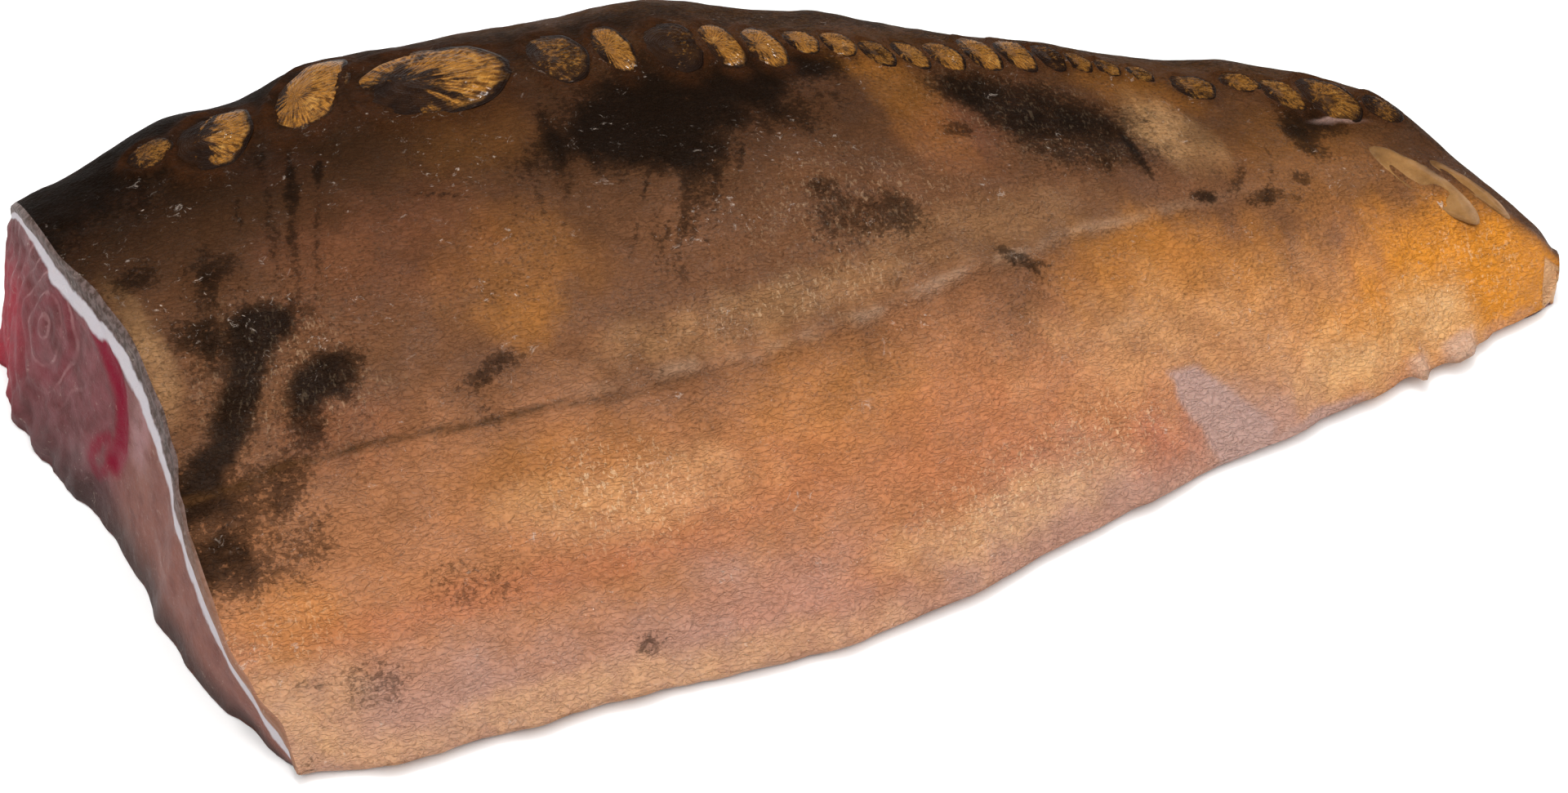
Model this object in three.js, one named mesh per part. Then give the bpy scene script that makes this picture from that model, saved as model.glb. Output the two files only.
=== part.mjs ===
// Carp fillet, a side of mirror carp lying skin side up.
// Millimetres, +Z up. +X runs towards the tail, +Y towards the back of the fish.
// The origin is the middle of the underside of the whole part's box.

import * as THREE from 'three';
import { LoftGeometry } from 'three/addons/geometries/LoftGeometry.js';
import { mergeGeometries } from 'three/addons/utils/BufferGeometryUtils.js';

// ---- driving dimensions -------------------------------------------------

const LENGTH = 340; // front corner of the back to the tip of the tail
const WIDTH = 175; // belly edge to the outside of the back, at the widest
const THICKNESS = 51; // underside to the skin at the thickest
const BELLY_FLAP = 3; // height of the blunt belly edge
const BACK_EDGE = 5; // height of the blunt edge below the back
const HEAD_LEAN = 20; // how far the flesh stands forward at the bottom of the head cut
const HEAD_BOW = 3; // how far the skin's edge bows back at the head cut
const CUT_REACH = 0.16; // share of the length over which lean and bow die away
const LEAN_SKEW = 1.65; // above 1, the greatest lean sits nearer the back
const BOW_SKEW = 0.75; // below 1, the greatest bow sits nearer the belly
const BELLY_FULLNESS = 2.1; // how quickly the skin rises from the belly edge
const BACK_FULLNESS = 3.0; // how squarely the skin turns down at the back

const SCALE_SEAT = 0.3; // clearance between a scale and the skin under it
const SCALE_RIM = 0.8; // thickness of a scale at its rim
const SCALE_CROWN = 1.5; // thickness of a scale in its middle

// ---- fineness -----------------------------------------------------------

const STATIONS = 46; // sections from head cut to tail
const STEPS = 30; // steps across the skin, and as many across the underside
const SCALE_SIDES = 14; // points around a scale
const SCALE_RINGS = [ 0, 0.5, 1 ]; // rings of points from middle to rim

// ---- outline, as shares of LENGTH and WIDTH ----------------------------

const BELLY = [
	[ 0.156, 0.0 ], [ 0.247, 0.011 ], [ 0.356, 0.02 ], [ 0.485, 0.037 ], [ 0.615, 0.109 ],
	[ 0.726, 0.177 ], [ 0.853, 0.246 ], [ 0.929, 0.297 ], [ 0.974, 0.32 ], [ 0.988, 0.331 ],
];
const BACK = [
	[ 0.033, 0.787 ], [ 0.134, 0.897 ], [ 0.262, 0.96 ], [ 0.415, 1.0 ], [ 0.556, 0.95 ],
	[ 0.685, 0.838 ], [ 0.821, 0.767 ], [ 0.924, 0.635 ], [ 0.976, 0.42 ], [ 1.0, 0.37 ],
];

// at each outline point: where the crest lies across the width, and its height as a share
const CREST = [
	[ 0.62, 0.97 ], [ 0.6, 1.0 ], [ 0.58, 1.0 ], [ 0.56, 0.96 ], [ 0.55, 0.86 ],
	[ 0.54, 0.71 ], [ 0.53, 0.58 ], [ 0.52, 0.46 ], [ 0.5, 0.33 ], [ 0.5, 0.25 ],
];

// the scales from nape to tail: place along and across the skin, then length as a share of
// LENGTH, height as a share of WIDTH, and slant, how much nearer the tail its upper rim is than
// its middle, as a share of LENGTH. Scales grow as the fish grows, so the row keeps its spacing.
const SCALES = [
	[ 0.081, 0.83, 0.028, 0.06, 0 ],
	[ 0.121, 0.815, 0.046, 0.137, 0.0105 ],
	[ 0.18, 0.845, 0.0485, 0.1615, 0.016 ],
	[ 0.238, 0.8, 0.091, 0.171, 0 ],
	[ 0.298, 0.79, 0.035, 0.137, 0 ],
	[ 0.3245, 0.785, 0.022, 0.131, 0 ],
	[ 0.353, 0.77, 0.034, 0.126, 0 ],
	[ 0.377, 0.765, 0.024, 0.12, 0 ],
	[ 0.398, 0.76, 0.0245, 0.114, 0 ],
	[ 0.42, 0.78, 0.0215, 0.074, 0 ],
	[ 0.439, 0.775, 0.0205, 0.074, 0 ],
	[ 0.457, 0.755, 0.021, 0.071, 0 ],
	[ 0.478, 0.77, 0.0215, 0.077, 0 ],
	[ 0.499, 0.785, 0.022, 0.086, 0 ],
	[ 0.522, 0.815, 0.022, 0.103, 0 ],
	[ 0.543, 0.83, 0.0215, 0.097, 0 ],
	[ 0.562, 0.83, 0.018, 0.074, 0 ],
	[ 0.577, 0.82, 0.015, 0.057, 0 ],
	[ 0.5915, 0.81, 0.015, 0.051, 0 ],
	[ 0.607, 0.795, 0.0175, 0.049, 0 ],
	[ 0.63, 0.745, 0.029, 0.069, 0 ],
	[ 0.66, 0.775, 0.0245, 0.054, 0 ],
	[ 0.683, 0.74, 0.026, 0.077, 0 ],
	[ 0.717, 0.76, 0.034, 0.103, 0 ],
	[ 0.757, 0.79, 0.025, 0.063, 0.0035 ],
	[ 0.757, 0.42, 0.043, 0.1, - 0.0225 ],
	[ 0.808, 0.495, 0.04, 0.04, - 0.0175 ],
];

function smoothCurve( shares, first, second ) {

	return new THREE.CatmullRomCurve3(
		shares.map( ( [ a, b ] ) => new THREE.Vector3( a * first, b * second, 0 ) )
	);

}

const bellyCurve = smoothCurve( BELLY, LENGTH, WIDTH );
const backCurve = smoothCurve( BACK, LENGTH, WIDTH );
const crestCurve = smoothCurve( CREST, 1, THICKNESS );

// height of the skin at a share of the way across, from belly edge 0 to back 1
function skinHeight( u, across ) {

	const crest = crestCurve.getPoint( u );
	if ( across < crest.x ) {

		const away = 1 - across / crest.x;
		return BELLY_FLAP + ( crest.y - BELLY_FLAP ) * ( 1 - away ** BELLY_FULLNESS );

	}

	const away = ( across - crest.x ) / ( 1 - crest.x );
	const drop = Math.max( 0, 1 - away ** BACK_FULLNESS ) ** ( 1 / BACK_FULLNESS );
	return BACK_EDGE + ( crest.y - BACK_EDGE ) * drop;

}

// how far a point near the head cut sits ahead of the straight line across the fish
function ahead( u, across, height ) {

	const fade = Math.max( 0, 1 - u / CUT_REACH ) ** 2;
	const rise = height / skinHeight( u, across );
	const lean = HEAD_LEAN * Math.sin( Math.PI * across ** LEAN_SKEW );
	const bow = HEAD_BOW * Math.sin( Math.PI * across ** BOW_SKEW ) ** 2;
	return fade * ( lean * ( 1 - rise ) - bow * rise );

}

function pointAt( u, across, height ) {

	const point = bellyCurve.getPoint( u ).lerp( backCurve.getPoint( u ), across );
	point.x -= ahead( u, across, height );
	point.z = height;
	return point;

}

function skinPoint( u, across ) {

	return pointAt( u, across, skinHeight( u, across ) );

}

// steps across the width lie closer where the skin curves most, at its two edges
function acrossAt( step ) {

	return ( 1 - Math.cos( Math.PI * step / STEPS ) ) / 2;

}

function skinLine( u ) {

	return Array.from( { length: STEPS + 1 }, ( _, step ) => skinPoint( u, acrossAt( step ) ) );

}

function underLine( u ) {

	return Array.from( { length: STEPS + 1 }, ( _, step ) => pointAt( u, acrossAt( step ), 0 ) );

}

function filletGeometry() {

	const sections = [];
	for ( let station = 0; station <= STATIONS; station ++ ) {

		const u = station / STATIONS;
		sections.push( [ ...underLine( u ), ...skinLine( u ).reverse() ] );

	}

	return mergeGeometries( [
		new LoftGeometry( sections ),
		new LoftGeometry( [ skinLine( 0 ), underLine( 0 ) ], { closed: false } ),
		new LoftGeometry( [ underLine( 1 ), skinLine( 1 ) ], { closed: false } ),
	] );

}

// a seat on the skin: its place, and how to step from it along and across in millimetres
function seatAt( u, across ) {

	const step = 0.001;
	const along = skinPoint( u + step, across ).sub( skinPoint( u - step, across ) );
	along.divideScalar( 2 * step );
	const over = skinPoint( u, across + step ).sub( skinPoint( u, across - step ) );
	over.divideScalar( 2 * step );
	const out = new THREE.Vector3().crossVectors( along, over ).normalize();
	const forward = along.clone().normalize();
	const side = new THREE.Vector3().crossVectors( out, forward );
	return { u, across, out, speed: along.length(), slant: over.dot( forward ), width: over.dot( side ) };

}

// the point of the skin at a distance along and across from a seat, raised off the skin
function offSkin( seat, x, y, raise ) {

	const acrossStep = y / seat.width;
	const alongStep = ( x - acrossStep * seat.slant ) / seat.speed;
	const near = seatAt( seat.u + alongStep, seat.across + acrossStep );
	return skinPoint( near.u, near.across ).addScaledVector( near.out, raise );

}

function scaleRing( seat, [ length, height, slant ], size, raise ) {

	const ring = [];
	for ( let side = 0; side < SCALE_SIDES; side ++ ) {

		const angle = 2 * Math.PI * side / SCALE_SIDES;
		const x = LENGTH * size * ( length / 2 * Math.cos( angle ) + slant * Math.sin( angle ) );
		const y = WIDTH * size * height / 2 * Math.sin( angle );
		ring.push( offSkin( seat, x, y, raise ) );

	}

	return ring;

}

// a domed plate lying over the skin, closed underneath
function scaleGeometry( [ u, across, ...outline ] ) {

	const seat = seatAt( u, across );
	const under = SCALE_RINGS.map( ( size ) => scaleRing( seat, outline, size, SCALE_SEAT ) );
	const over = SCALE_RINGS.map( ( size ) => {

		const thickness = SCALE_RIM + ( SCALE_CROWN - SCALE_RIM ) * ( 1 - size ** 2 );
		return scaleRing( seat, outline, size, SCALE_SEAT + thickness );

	} );
	return new LoftGeometry( [ ...under, ...over.reverse() ] );

}

function scaleName( index ) {

	return `scale_${ String( index + 1 ).padStart( 2, '0' ) }`;

}

const fillet = new THREE.Mesh(
	filletGeometry(),
	new THREE.MeshStandardMaterial( { color: 0xb07a48, roughness: 0.45, metalness: 0 } )
);
fillet.name = 'fillet';

const part = new THREE.Group();
part.add( fillet );

SCALES.forEach( ( scale, index ) => {

	const mesh = new THREE.Mesh(
		scaleGeometry( scale ),
		new THREE.MeshStandardMaterial( { color: 0xb5792c, roughness: 0.3, metalness: 0.2 } )
	);
	mesh.name = scaleName( index );
	part.add( mesh );

} );

const box = new THREE.Box3().setFromObject( part );
const middle = box.getCenter( new THREE.Vector3() );
part.position.set( - middle.x, - middle.y, - box.min.z );

export default part;
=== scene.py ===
"""The look of a carp fillet, a side of mirror carp lying skin side up on a pale table."""

import math

import bmesh
import bpy
import numpy as np
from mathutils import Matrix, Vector


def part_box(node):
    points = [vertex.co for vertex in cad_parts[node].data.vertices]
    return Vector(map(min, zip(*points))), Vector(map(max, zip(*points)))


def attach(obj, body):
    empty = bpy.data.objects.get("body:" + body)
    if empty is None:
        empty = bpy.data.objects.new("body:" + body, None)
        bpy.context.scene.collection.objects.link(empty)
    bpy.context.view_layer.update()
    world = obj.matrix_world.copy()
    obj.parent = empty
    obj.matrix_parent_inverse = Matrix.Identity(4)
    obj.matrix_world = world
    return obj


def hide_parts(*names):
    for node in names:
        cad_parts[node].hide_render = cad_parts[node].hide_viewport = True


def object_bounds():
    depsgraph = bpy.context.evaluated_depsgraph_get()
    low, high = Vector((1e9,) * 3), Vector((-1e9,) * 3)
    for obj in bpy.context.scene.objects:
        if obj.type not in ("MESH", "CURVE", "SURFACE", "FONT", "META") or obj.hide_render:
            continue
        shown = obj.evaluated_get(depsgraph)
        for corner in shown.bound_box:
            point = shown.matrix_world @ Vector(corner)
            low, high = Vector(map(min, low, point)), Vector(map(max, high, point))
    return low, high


bl_info = {
    "name": "Carp fillet",
    "version": (1, 0, 0),
    "blender": (4, 5, 0),
    "location": "View3D > Sidebar > Carp fillet",
    "description": "Models the skin, the cut flesh and the bony scales of a carp fillet",
    "category": "Add Mesh",
}

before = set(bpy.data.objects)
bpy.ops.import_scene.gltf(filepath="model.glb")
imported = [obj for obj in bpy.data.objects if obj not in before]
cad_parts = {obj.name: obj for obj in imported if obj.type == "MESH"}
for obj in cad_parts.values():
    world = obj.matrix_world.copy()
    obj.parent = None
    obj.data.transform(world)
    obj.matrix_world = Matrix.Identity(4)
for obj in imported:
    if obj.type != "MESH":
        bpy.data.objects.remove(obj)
cad_low, cad_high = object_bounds()
fillet_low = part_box("fillet")[0]

MM = 0.001  # metres in a millimetre

# ---- the shape the solid was made to, in millimetres ---------------------

LENGTH = 340  # front corner of the back to the tip of the tail
WIDTH = 175  # belly edge to the outside of the back
THICKNESS = 51  # underside to the skin at the thickest
BELLY_FLAP = 3  # height of the blunt belly edge
BACK_EDGE = 5  # height of the blunt edge below the back
HEAD_LEAN = 20  # how far the flesh stands forward at the bottom of the head cut
HEAD_BOW = 3  # how far the skin's edge bows back at the head cut
CUT_REACH = 0.16  # share of the length over which lean and bow die away
LEAN_SKEW = 1.65  # above 1, the greatest lean sits nearer the back
BOW_SKEW = 0.75  # below 1, the greatest bow sits nearer the belly
BELLY_FULLNESS = 2.1  # how quickly the skin rises from the belly edge
BACK_FULLNESS = 3.0  # how squarely the skin turns down at the back

# outlines as shares of length and width, from head cut to tail
BELLY = [
    (0.156, 0.0), (0.247, 0.011), (0.356, 0.02), (0.485, 0.037), (0.615, 0.109),
    (0.726, 0.177), (0.853, 0.246), (0.929, 0.297), (0.974, 0.32), (0.988, 0.331),
]
BACK = [
    (0.033, 0.787), (0.134, 0.897), (0.262, 0.96), (0.415, 1.0), (0.556, 0.95),
    (0.685, 0.838), (0.821, 0.767), (0.924, 0.635), (0.976, 0.42), (1.0, 0.37),
]
# where the crest lies across the width, and its height as a share
CREST = [
    (0.62, 0.97), (0.6, 1.0), (0.58, 1.0), (0.56, 0.96), (0.55, 0.86),
    (0.54, 0.71), (0.53, 0.58), (0.52, 0.46), (0.5, 0.33), (0.5, 0.25),
]

# ---- how the flesh sags away from the plain shape, in millimetres ---------

# at a share of the way along: how far the belly edge spreads, and the back swells
BELLY_SPREAD = [
    (0, 0), (0.06, 2.4), (0.15, 2), (0.2, 0.6), (0.3, 1.5), (0.4, 1.2), (0.5, 1.6),
    (0.6, 1.5), (0.7, 1.6), (0.75, 2.0), (0.8, 1.0), (0.86, 1.6), (1, 1.0),
]
BACK_SWELL = [
    (0, 0), (0.05, -0.5), (0.1, 0.2), (0.145, -1.2), (0.19, 1.8), (0.25, 0.5), (0.31, -1),
    (0.36, 0), (0.42, -2), (0.47, -1.4), (0.52, 0), (0.56, 0.5), (0.63, -2), (0.68, 1),
    (0.74, 2.2), (0.8, 0.2), (0.84, 0.6), (0.88, 1.5), (0.95, 0.5), (1, 0),
]
# at a share of the way across: how far the head cut is trimmed back, at the skin and at the base
SKIN_TRIM = [
    (0, 0), (0.045, 0.5), (0.085, -2.2), (0.14, -4.0), (0.2, -3.6), (0.265, -3.2), (0.31, -2),
    (0.375, 0.7), (0.44, 2.2), (0.55, 3.4), (0.63, 2.6), (0.74, 0), (1, 0),
]
BASE_TRIM = [
    (0, 0), (0.08, -2), (0.15, -4), (0.2, -4.5), (0.3, -2), (0.4, 3), (0.5, 6), (0.55, 6.5),
    (0.6, 5), (0.7, 3.4), (0.75, 0.4), (0.85, -2), (0.9, -4.5), (0.95, -6.5), (1, -7.5),
]
# the lateral line, at shares along and round the skin
LATERAL_LINE = [
    (0, 0.30), (0.1, 0.293), (0.2, 0.278), (0.3, 0.27), (0.38, 0.28), (0.45, 0.31),
    (0.52, 0.345), (0.6, 0.375), (0.7, 0.38), (0.8, 0.36), (1, 0.33),
]

# ---- the scales, in the same order as their solids ------------------------
# place along and across, length and height as shares, slant, then how golden the plate is
SCALES = [
    (0.081, 0.83, 0.028, 0.06, 0, 0.45),
    (0.121, 0.815, 0.046, 0.137, 0.0105, 0.9),
    (0.18, 0.845, 0.0485, 0.1615, 0.016, 1.0),
    (0.238, 0.8, 0.091, 0.171, 0, 0.9),
    (0.298, 0.79, 0.035, 0.137, 0, 0.35),
    (0.3245, 0.785, 0.022, 0.131, 0, 0.8),
    (0.353, 0.77, 0.034, 0.126, 0, 0.15),
    (0.377, 0.765, 0.024, 0.12, 0, 0.9),
    (0.398, 0.76, 0.0245, 0.114, 0, 0.95),
    (0.42, 0.78, 0.0215, 0.074, 0, 0.9),
    (0.439, 0.775, 0.0205, 0.074, 0, 0.9),
    (0.457, 0.755, 0.021, 0.071, 0, 0.45),
    (0.478, 0.77, 0.0215, 0.077, 0, 0.6),
    (0.499, 0.785, 0.022, 0.086, 0, 0.75),
    (0.522, 0.815, 0.022, 0.103, 0, 0.8),
    (0.543, 0.83, 0.0215, 0.097, 0, 0.7),
    (0.562, 0.83, 0.018, 0.074, 0, 0.2),
    (0.577, 0.82, 0.015, 0.057, 0, 0.5),
    (0.5915, 0.81, 0.015, 0.051, 0, 0.5),
    (0.607, 0.795, 0.0175, 0.049, 0, 0.5),
    (0.63, 0.745, 0.029, 0.069, 0, 0.45),
    (0.66, 0.775, 0.0245, 0.054, 0, 0.6),
    (0.683, 0.74, 0.026, 0.077, 0, 0.5),
    (0.717, 0.76, 0.034, 0.103, 0, 0.45),
    (0.757, 0.79, 0.025, 0.063, 0.0035, 0.3),
]
# the two soft plates by the tail fin
TAIL_PLATES = [
    (0.757, 0.42, 0.043, 0.1, -0.0225, 0.0),
    (0.808, 0.495, 0.04, 0.04, -0.0175, 0.0),
]


# ---- smooth lines and seeded grain ----------------------------------------

class SmoothCurve:
    """A centripetal curve through points, the same as the one the solid was lofted along."""

    def __init__(self, points):
        p = np.array(points, float)
        self.points = np.vstack([2 * p[0] - p[1], p, 2 * p[-1] - p[-2]])
        self.spans = len(p) - 1

    def at(self, share):
        share = np.asarray(share, float)
        whole = np.clip((share * self.spans).astype(int), 0, self.spans - 1)
        w = (share * self.spans - whole)[..., None]
        x0, x1, x2, x3 = (self.points[whole + k] for k in range(4))

        def gap(a, b):
            return np.maximum(((a - b) ** 2).sum(-1, keepdims=True) ** 0.25, 1e-4)

        d0, d1, d2 = gap(x0, x1), gap(x1, x2), gap(x2, x3)
        t1 = ((x1 - x0) / d0 - (x2 - x0) / (d0 + d1) + (x2 - x1) / d1) * d1
        t2 = ((x2 - x1) / d1 - (x3 - x1) / (d1 + d2) + (x3 - x2) / d2) * d1
        return (
            x1 + t1 * w + (-3 * x1 + 3 * x2 - 2 * t1 - t2) * w**2
            + (2 * x1 - 2 * x2 + t1 + t2) * w**3
        )


def eased(points, share):
    """A smooth value read off a short list of (share, value)."""
    share = np.asarray(share, float)
    at, value = np.array(points, float).T
    span = np.clip(np.searchsorted(at, share, side="right") - 1, 0, len(at) - 2)
    w = np.clip((share - at[span]) / (at[span + 1] - at[span]), 0, 1)
    return value[span] + (value[span + 1] - value[span]) * w * w * (3 - 2 * w)


def step(low, high, value):
    """0 at the first limit and 1 at the second, eased between them."""
    w = np.clip((value - low) / (high - low), 0, 1)
    return w * w * (3 - 2 * w)


class Grain:
    """Smooth seeded lumps, the same on every run."""

    CELLS = 48

    def __init__(self, seed):
        self.lattice = np.random.default_rng(seed).uniform(-1, 1, (self.CELLS,) * 3)

    def at(self, points, size):
        q = np.asarray(points, float) / size
        whole = np.floor(q).astype(int)
        f = q - whole
        f = f * f * (3 - 2 * f)
        total = 0
        for corner in range(8):
            pick = [(corner >> k) & 1 for k in range(3)]
            weight = 1
            for k in range(3):
                weight = weight * (f[..., k] if pick[k] else 1 - f[..., k])
            i, j, k = ((whole[..., n] + pick[n]) % self.CELLS for n in range(3))
            total = total + weight * self.lattice[i, j, k]
        return total

    def layered(self, points, size, layers=3):
        total = 0
        for layer in range(layers):
            total = total + self.at(points + 17.3 * layer, size / 2**layer) / 2**layer
        return total


broad_grain = Grain(11)
fine_grain = Grain(23)
blot_grain = Grain(37)
flesh_grain = Grain(53)

# ---- the shape of the fillet ----------------------------------------------

belly_curve = SmoothCurve(np.array(BELLY) * (LENGTH, WIDTH))
back_curve = SmoothCurve(np.array(BACK) * (LENGTH, WIDTH))
crest_curve = SmoothCurve(np.array(CREST) * (1, THICKNESS))


def skin_height(u, across):
    """Height of the plain skin, with the belly in front of the crest and the back behind it."""
    crest = crest_curve.at(u)
    place, height = crest[..., 0], crest[..., 1]
    front = np.clip(1 - across / place, 0, 1)
    behind = np.clip((across - place) / (1 - place), 0, 1)
    belly = BELLY_FLAP + (height - BELLY_FLAP) * (1 - front**BELLY_FULLNESS)
    drop = (1 - behind**BACK_FULLNESS) ** (1 / BACK_FULLNESS)
    return np.where(across < place, belly, BACK_EDGE + (height - BACK_EDGE) * drop)


def plain_point(u, across, rise):
    """A point of the solid: share along, share across, and share of the skin's height."""
    fade = np.clip(1 - u / CUT_REACH, 0, 1) ** 2
    lean = HEAD_LEAN * np.sin(np.pi * across**LEAN_SKEW)
    bow = HEAD_BOW * np.sin(np.pi * across**BOW_SKEW) ** 2
    a = across[..., None]
    flat = belly_curve.at(u) * (1 - a) + back_curve.at(u) * a
    x = flat[..., 0] - fade * (lean * (1 - rise) - bow * rise)
    return np.stack([x, flat[..., 1], skin_height(u, across) * rise], -1)


ALONG_STEPS, ACROSS_STEPS, ROUND_STEPS = 120, 400, 200  # fineness of the table of arcs
U_STEPS = np.linspace(0, 1, ALONG_STEPS + 1)
T_STEPS = np.linspace(0, 1, ROUND_STEPS + 1)


def table_of_arcs():
    """The share across for shares along and round, the girths, and the run along the middle."""
    u = U_STEPS
    across = np.linspace(0, 1, ACROSS_STEPS + 1)
    uu, aa = np.meshgrid(u, across, indexing="ij")
    points = plain_point(uu, aa, np.ones_like(uu))
    steps = np.linalg.norm(np.diff(points, axis=1), axis=-1)
    arc = np.concatenate([np.zeros((len(u), 1)), np.cumsum(steps, axis=1)], 1)
    rows = [np.interp(T_STEPS, row / row[-1], across) for row in arc]
    middle = points[:, ACROSS_STEPS // 2]
    run = np.concatenate([[0], np.cumsum(np.linalg.norm(np.diff(middle, axis=0), axis=1))])
    return np.array(rows), arc[:, -1], run


arc_rows, arc_lengths, run_lengths = table_of_arcs()


def across_at(u, t):
    """Share across for a share of the way round the skin."""
    i = np.clip((u * ALONG_STEPS).astype(int), 0, ALONG_STEPS - 1)
    j = np.clip((t * ROUND_STEPS).astype(int), 0, ROUND_STEPS - 1)
    fu, ft = u * ALONG_STEPS - i, t * ROUND_STEPS - j
    r = arc_rows
    near = r[i, j] * (1 - ft) + r[i, j + 1] * ft
    far = r[i + 1, j] * (1 - ft) + r[i + 1, j + 1] * ft
    return near * (1 - fu) + far * fu


def round_at(u, across):
    """Share of the way round the skin for a share across."""
    return float(np.interp(across, arc_rows[int(round(u * ALONG_STEPS))], T_STEPS))


def run_at(u):
    """Millimetres along the middle of the skin."""
    return np.interp(u, U_STEPS, run_lengths)


def girth_at(u):
    """Millimetres round the skin from belly edge to back."""
    return np.interp(u, U_STEPS, arc_lengths)


def normals_of(u, across):
    """Which way the plain skin faces."""
    step_size = 0.002
    ones = np.ones_like(u)
    ahead = plain_point(np.clip(u + step_size, 0, 1), across, ones)
    behind = plain_point(np.clip(u - step_size, 0, 1), across, ones)
    up = plain_point(u, np.clip(across + step_size, 0, 0.999), ones)
    down = plain_point(u, np.clip(across - step_size, 0.001, 1), ones)
    out = np.cross(ahead - behind, up - down)
    return out / np.linalg.norm(out, axis=-1, keepdims=True)


def sag(u, across, t):
    """How the whole skin swells, sinks and spreads, as a step in millimetres."""
    plain = plain_point(u, across, np.ones_like(u))
    lengthwise = plain * (1, 0, 0)
    normal = normals_of(u, across)
    lift = 0.9 * broad_grain.layered(plain, 42, 2) + 0.35 * broad_grain.at(plain, 15)
    lift = lift * step(0, 0.12, t) * step(1.0, 0.9, t)
    lift = lift + eased(BACK_SWELL, u) * np.exp(-(((t - 0.8) / 0.13) ** 2))
    move = normal * lift[..., None]
    edge = np.exp(-((t / 0.16) ** 2))
    wave = 0.7 * broad_grain.at(lengthwise, 7) + 0.8 * broad_grain.at(lengthwise, 19)
    spread = (eased(BELLY_SPREAD, u) + wave) * edge
    move[..., 1] -= spread * 0.9
    move[..., 0] += spread * 0.25
    back = np.exp(-(((1 - t) / 0.12) ** 2))
    move[..., 1] += back * 1.1 * broad_grain.at(lengthwise + 40, 14)
    fade = np.clip(1 - u / 0.07, 0, 1) ** 2
    move[..., 0] += fade * eased(SKIN_TRIM, across)
    round_off = 6.5 * np.clip((t - 0.2) / 0.8, 0, 1) ** 1.4 + 1.5 * step(0.2, 0.0, t)
    move[..., 0] -= step(0.9, 1.0, u) * round_off
    return move


def body_point(u, across, t, rise):
    """A point of the sagging body; the base keeps its outline, trimmed at the head cut."""
    point = plain_point(u, across, rise) + sag(u, across, t) * (rise * rise)[..., None]
    fade = np.clip(1 - u / 0.1, 0, 1) ** 2
    point[..., 0] += fade * eased(BASE_TRIM, across) * (1 - rise) ** 0.8
    edge = np.exp(-((t / 0.1) ** 2)) * (1 - rise * rise)
    point[..., 1] -= (eased(BELLY_SPREAD, u) - 0.6) * edge
    rolled_under = np.exp(-((t / 0.03) ** 2)) * (1 - rise) ** 2
    point[..., 1] += 1.9 * rolled_under
    return point


probe = np.linspace(0, 1, 161)
probe_u, probe_a = np.meshgrid(probe, probe, indexing="ij")
probe_points = np.concatenate([
    plain_point(probe_u, probe_a, np.full_like(probe_u, r)).reshape(-1, 3) for r in (0, 1)
])
SHIFT = np.array(fillet_low) / MM - probe_points.min(0)  # from the lofted shape to the frame


def in_frame(points):
    """Millimetres of the lofted shape to metres of the frame."""
    return (points + SHIFT) * MM


# ---- marks on the skin ----------------------------------------------------

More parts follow.
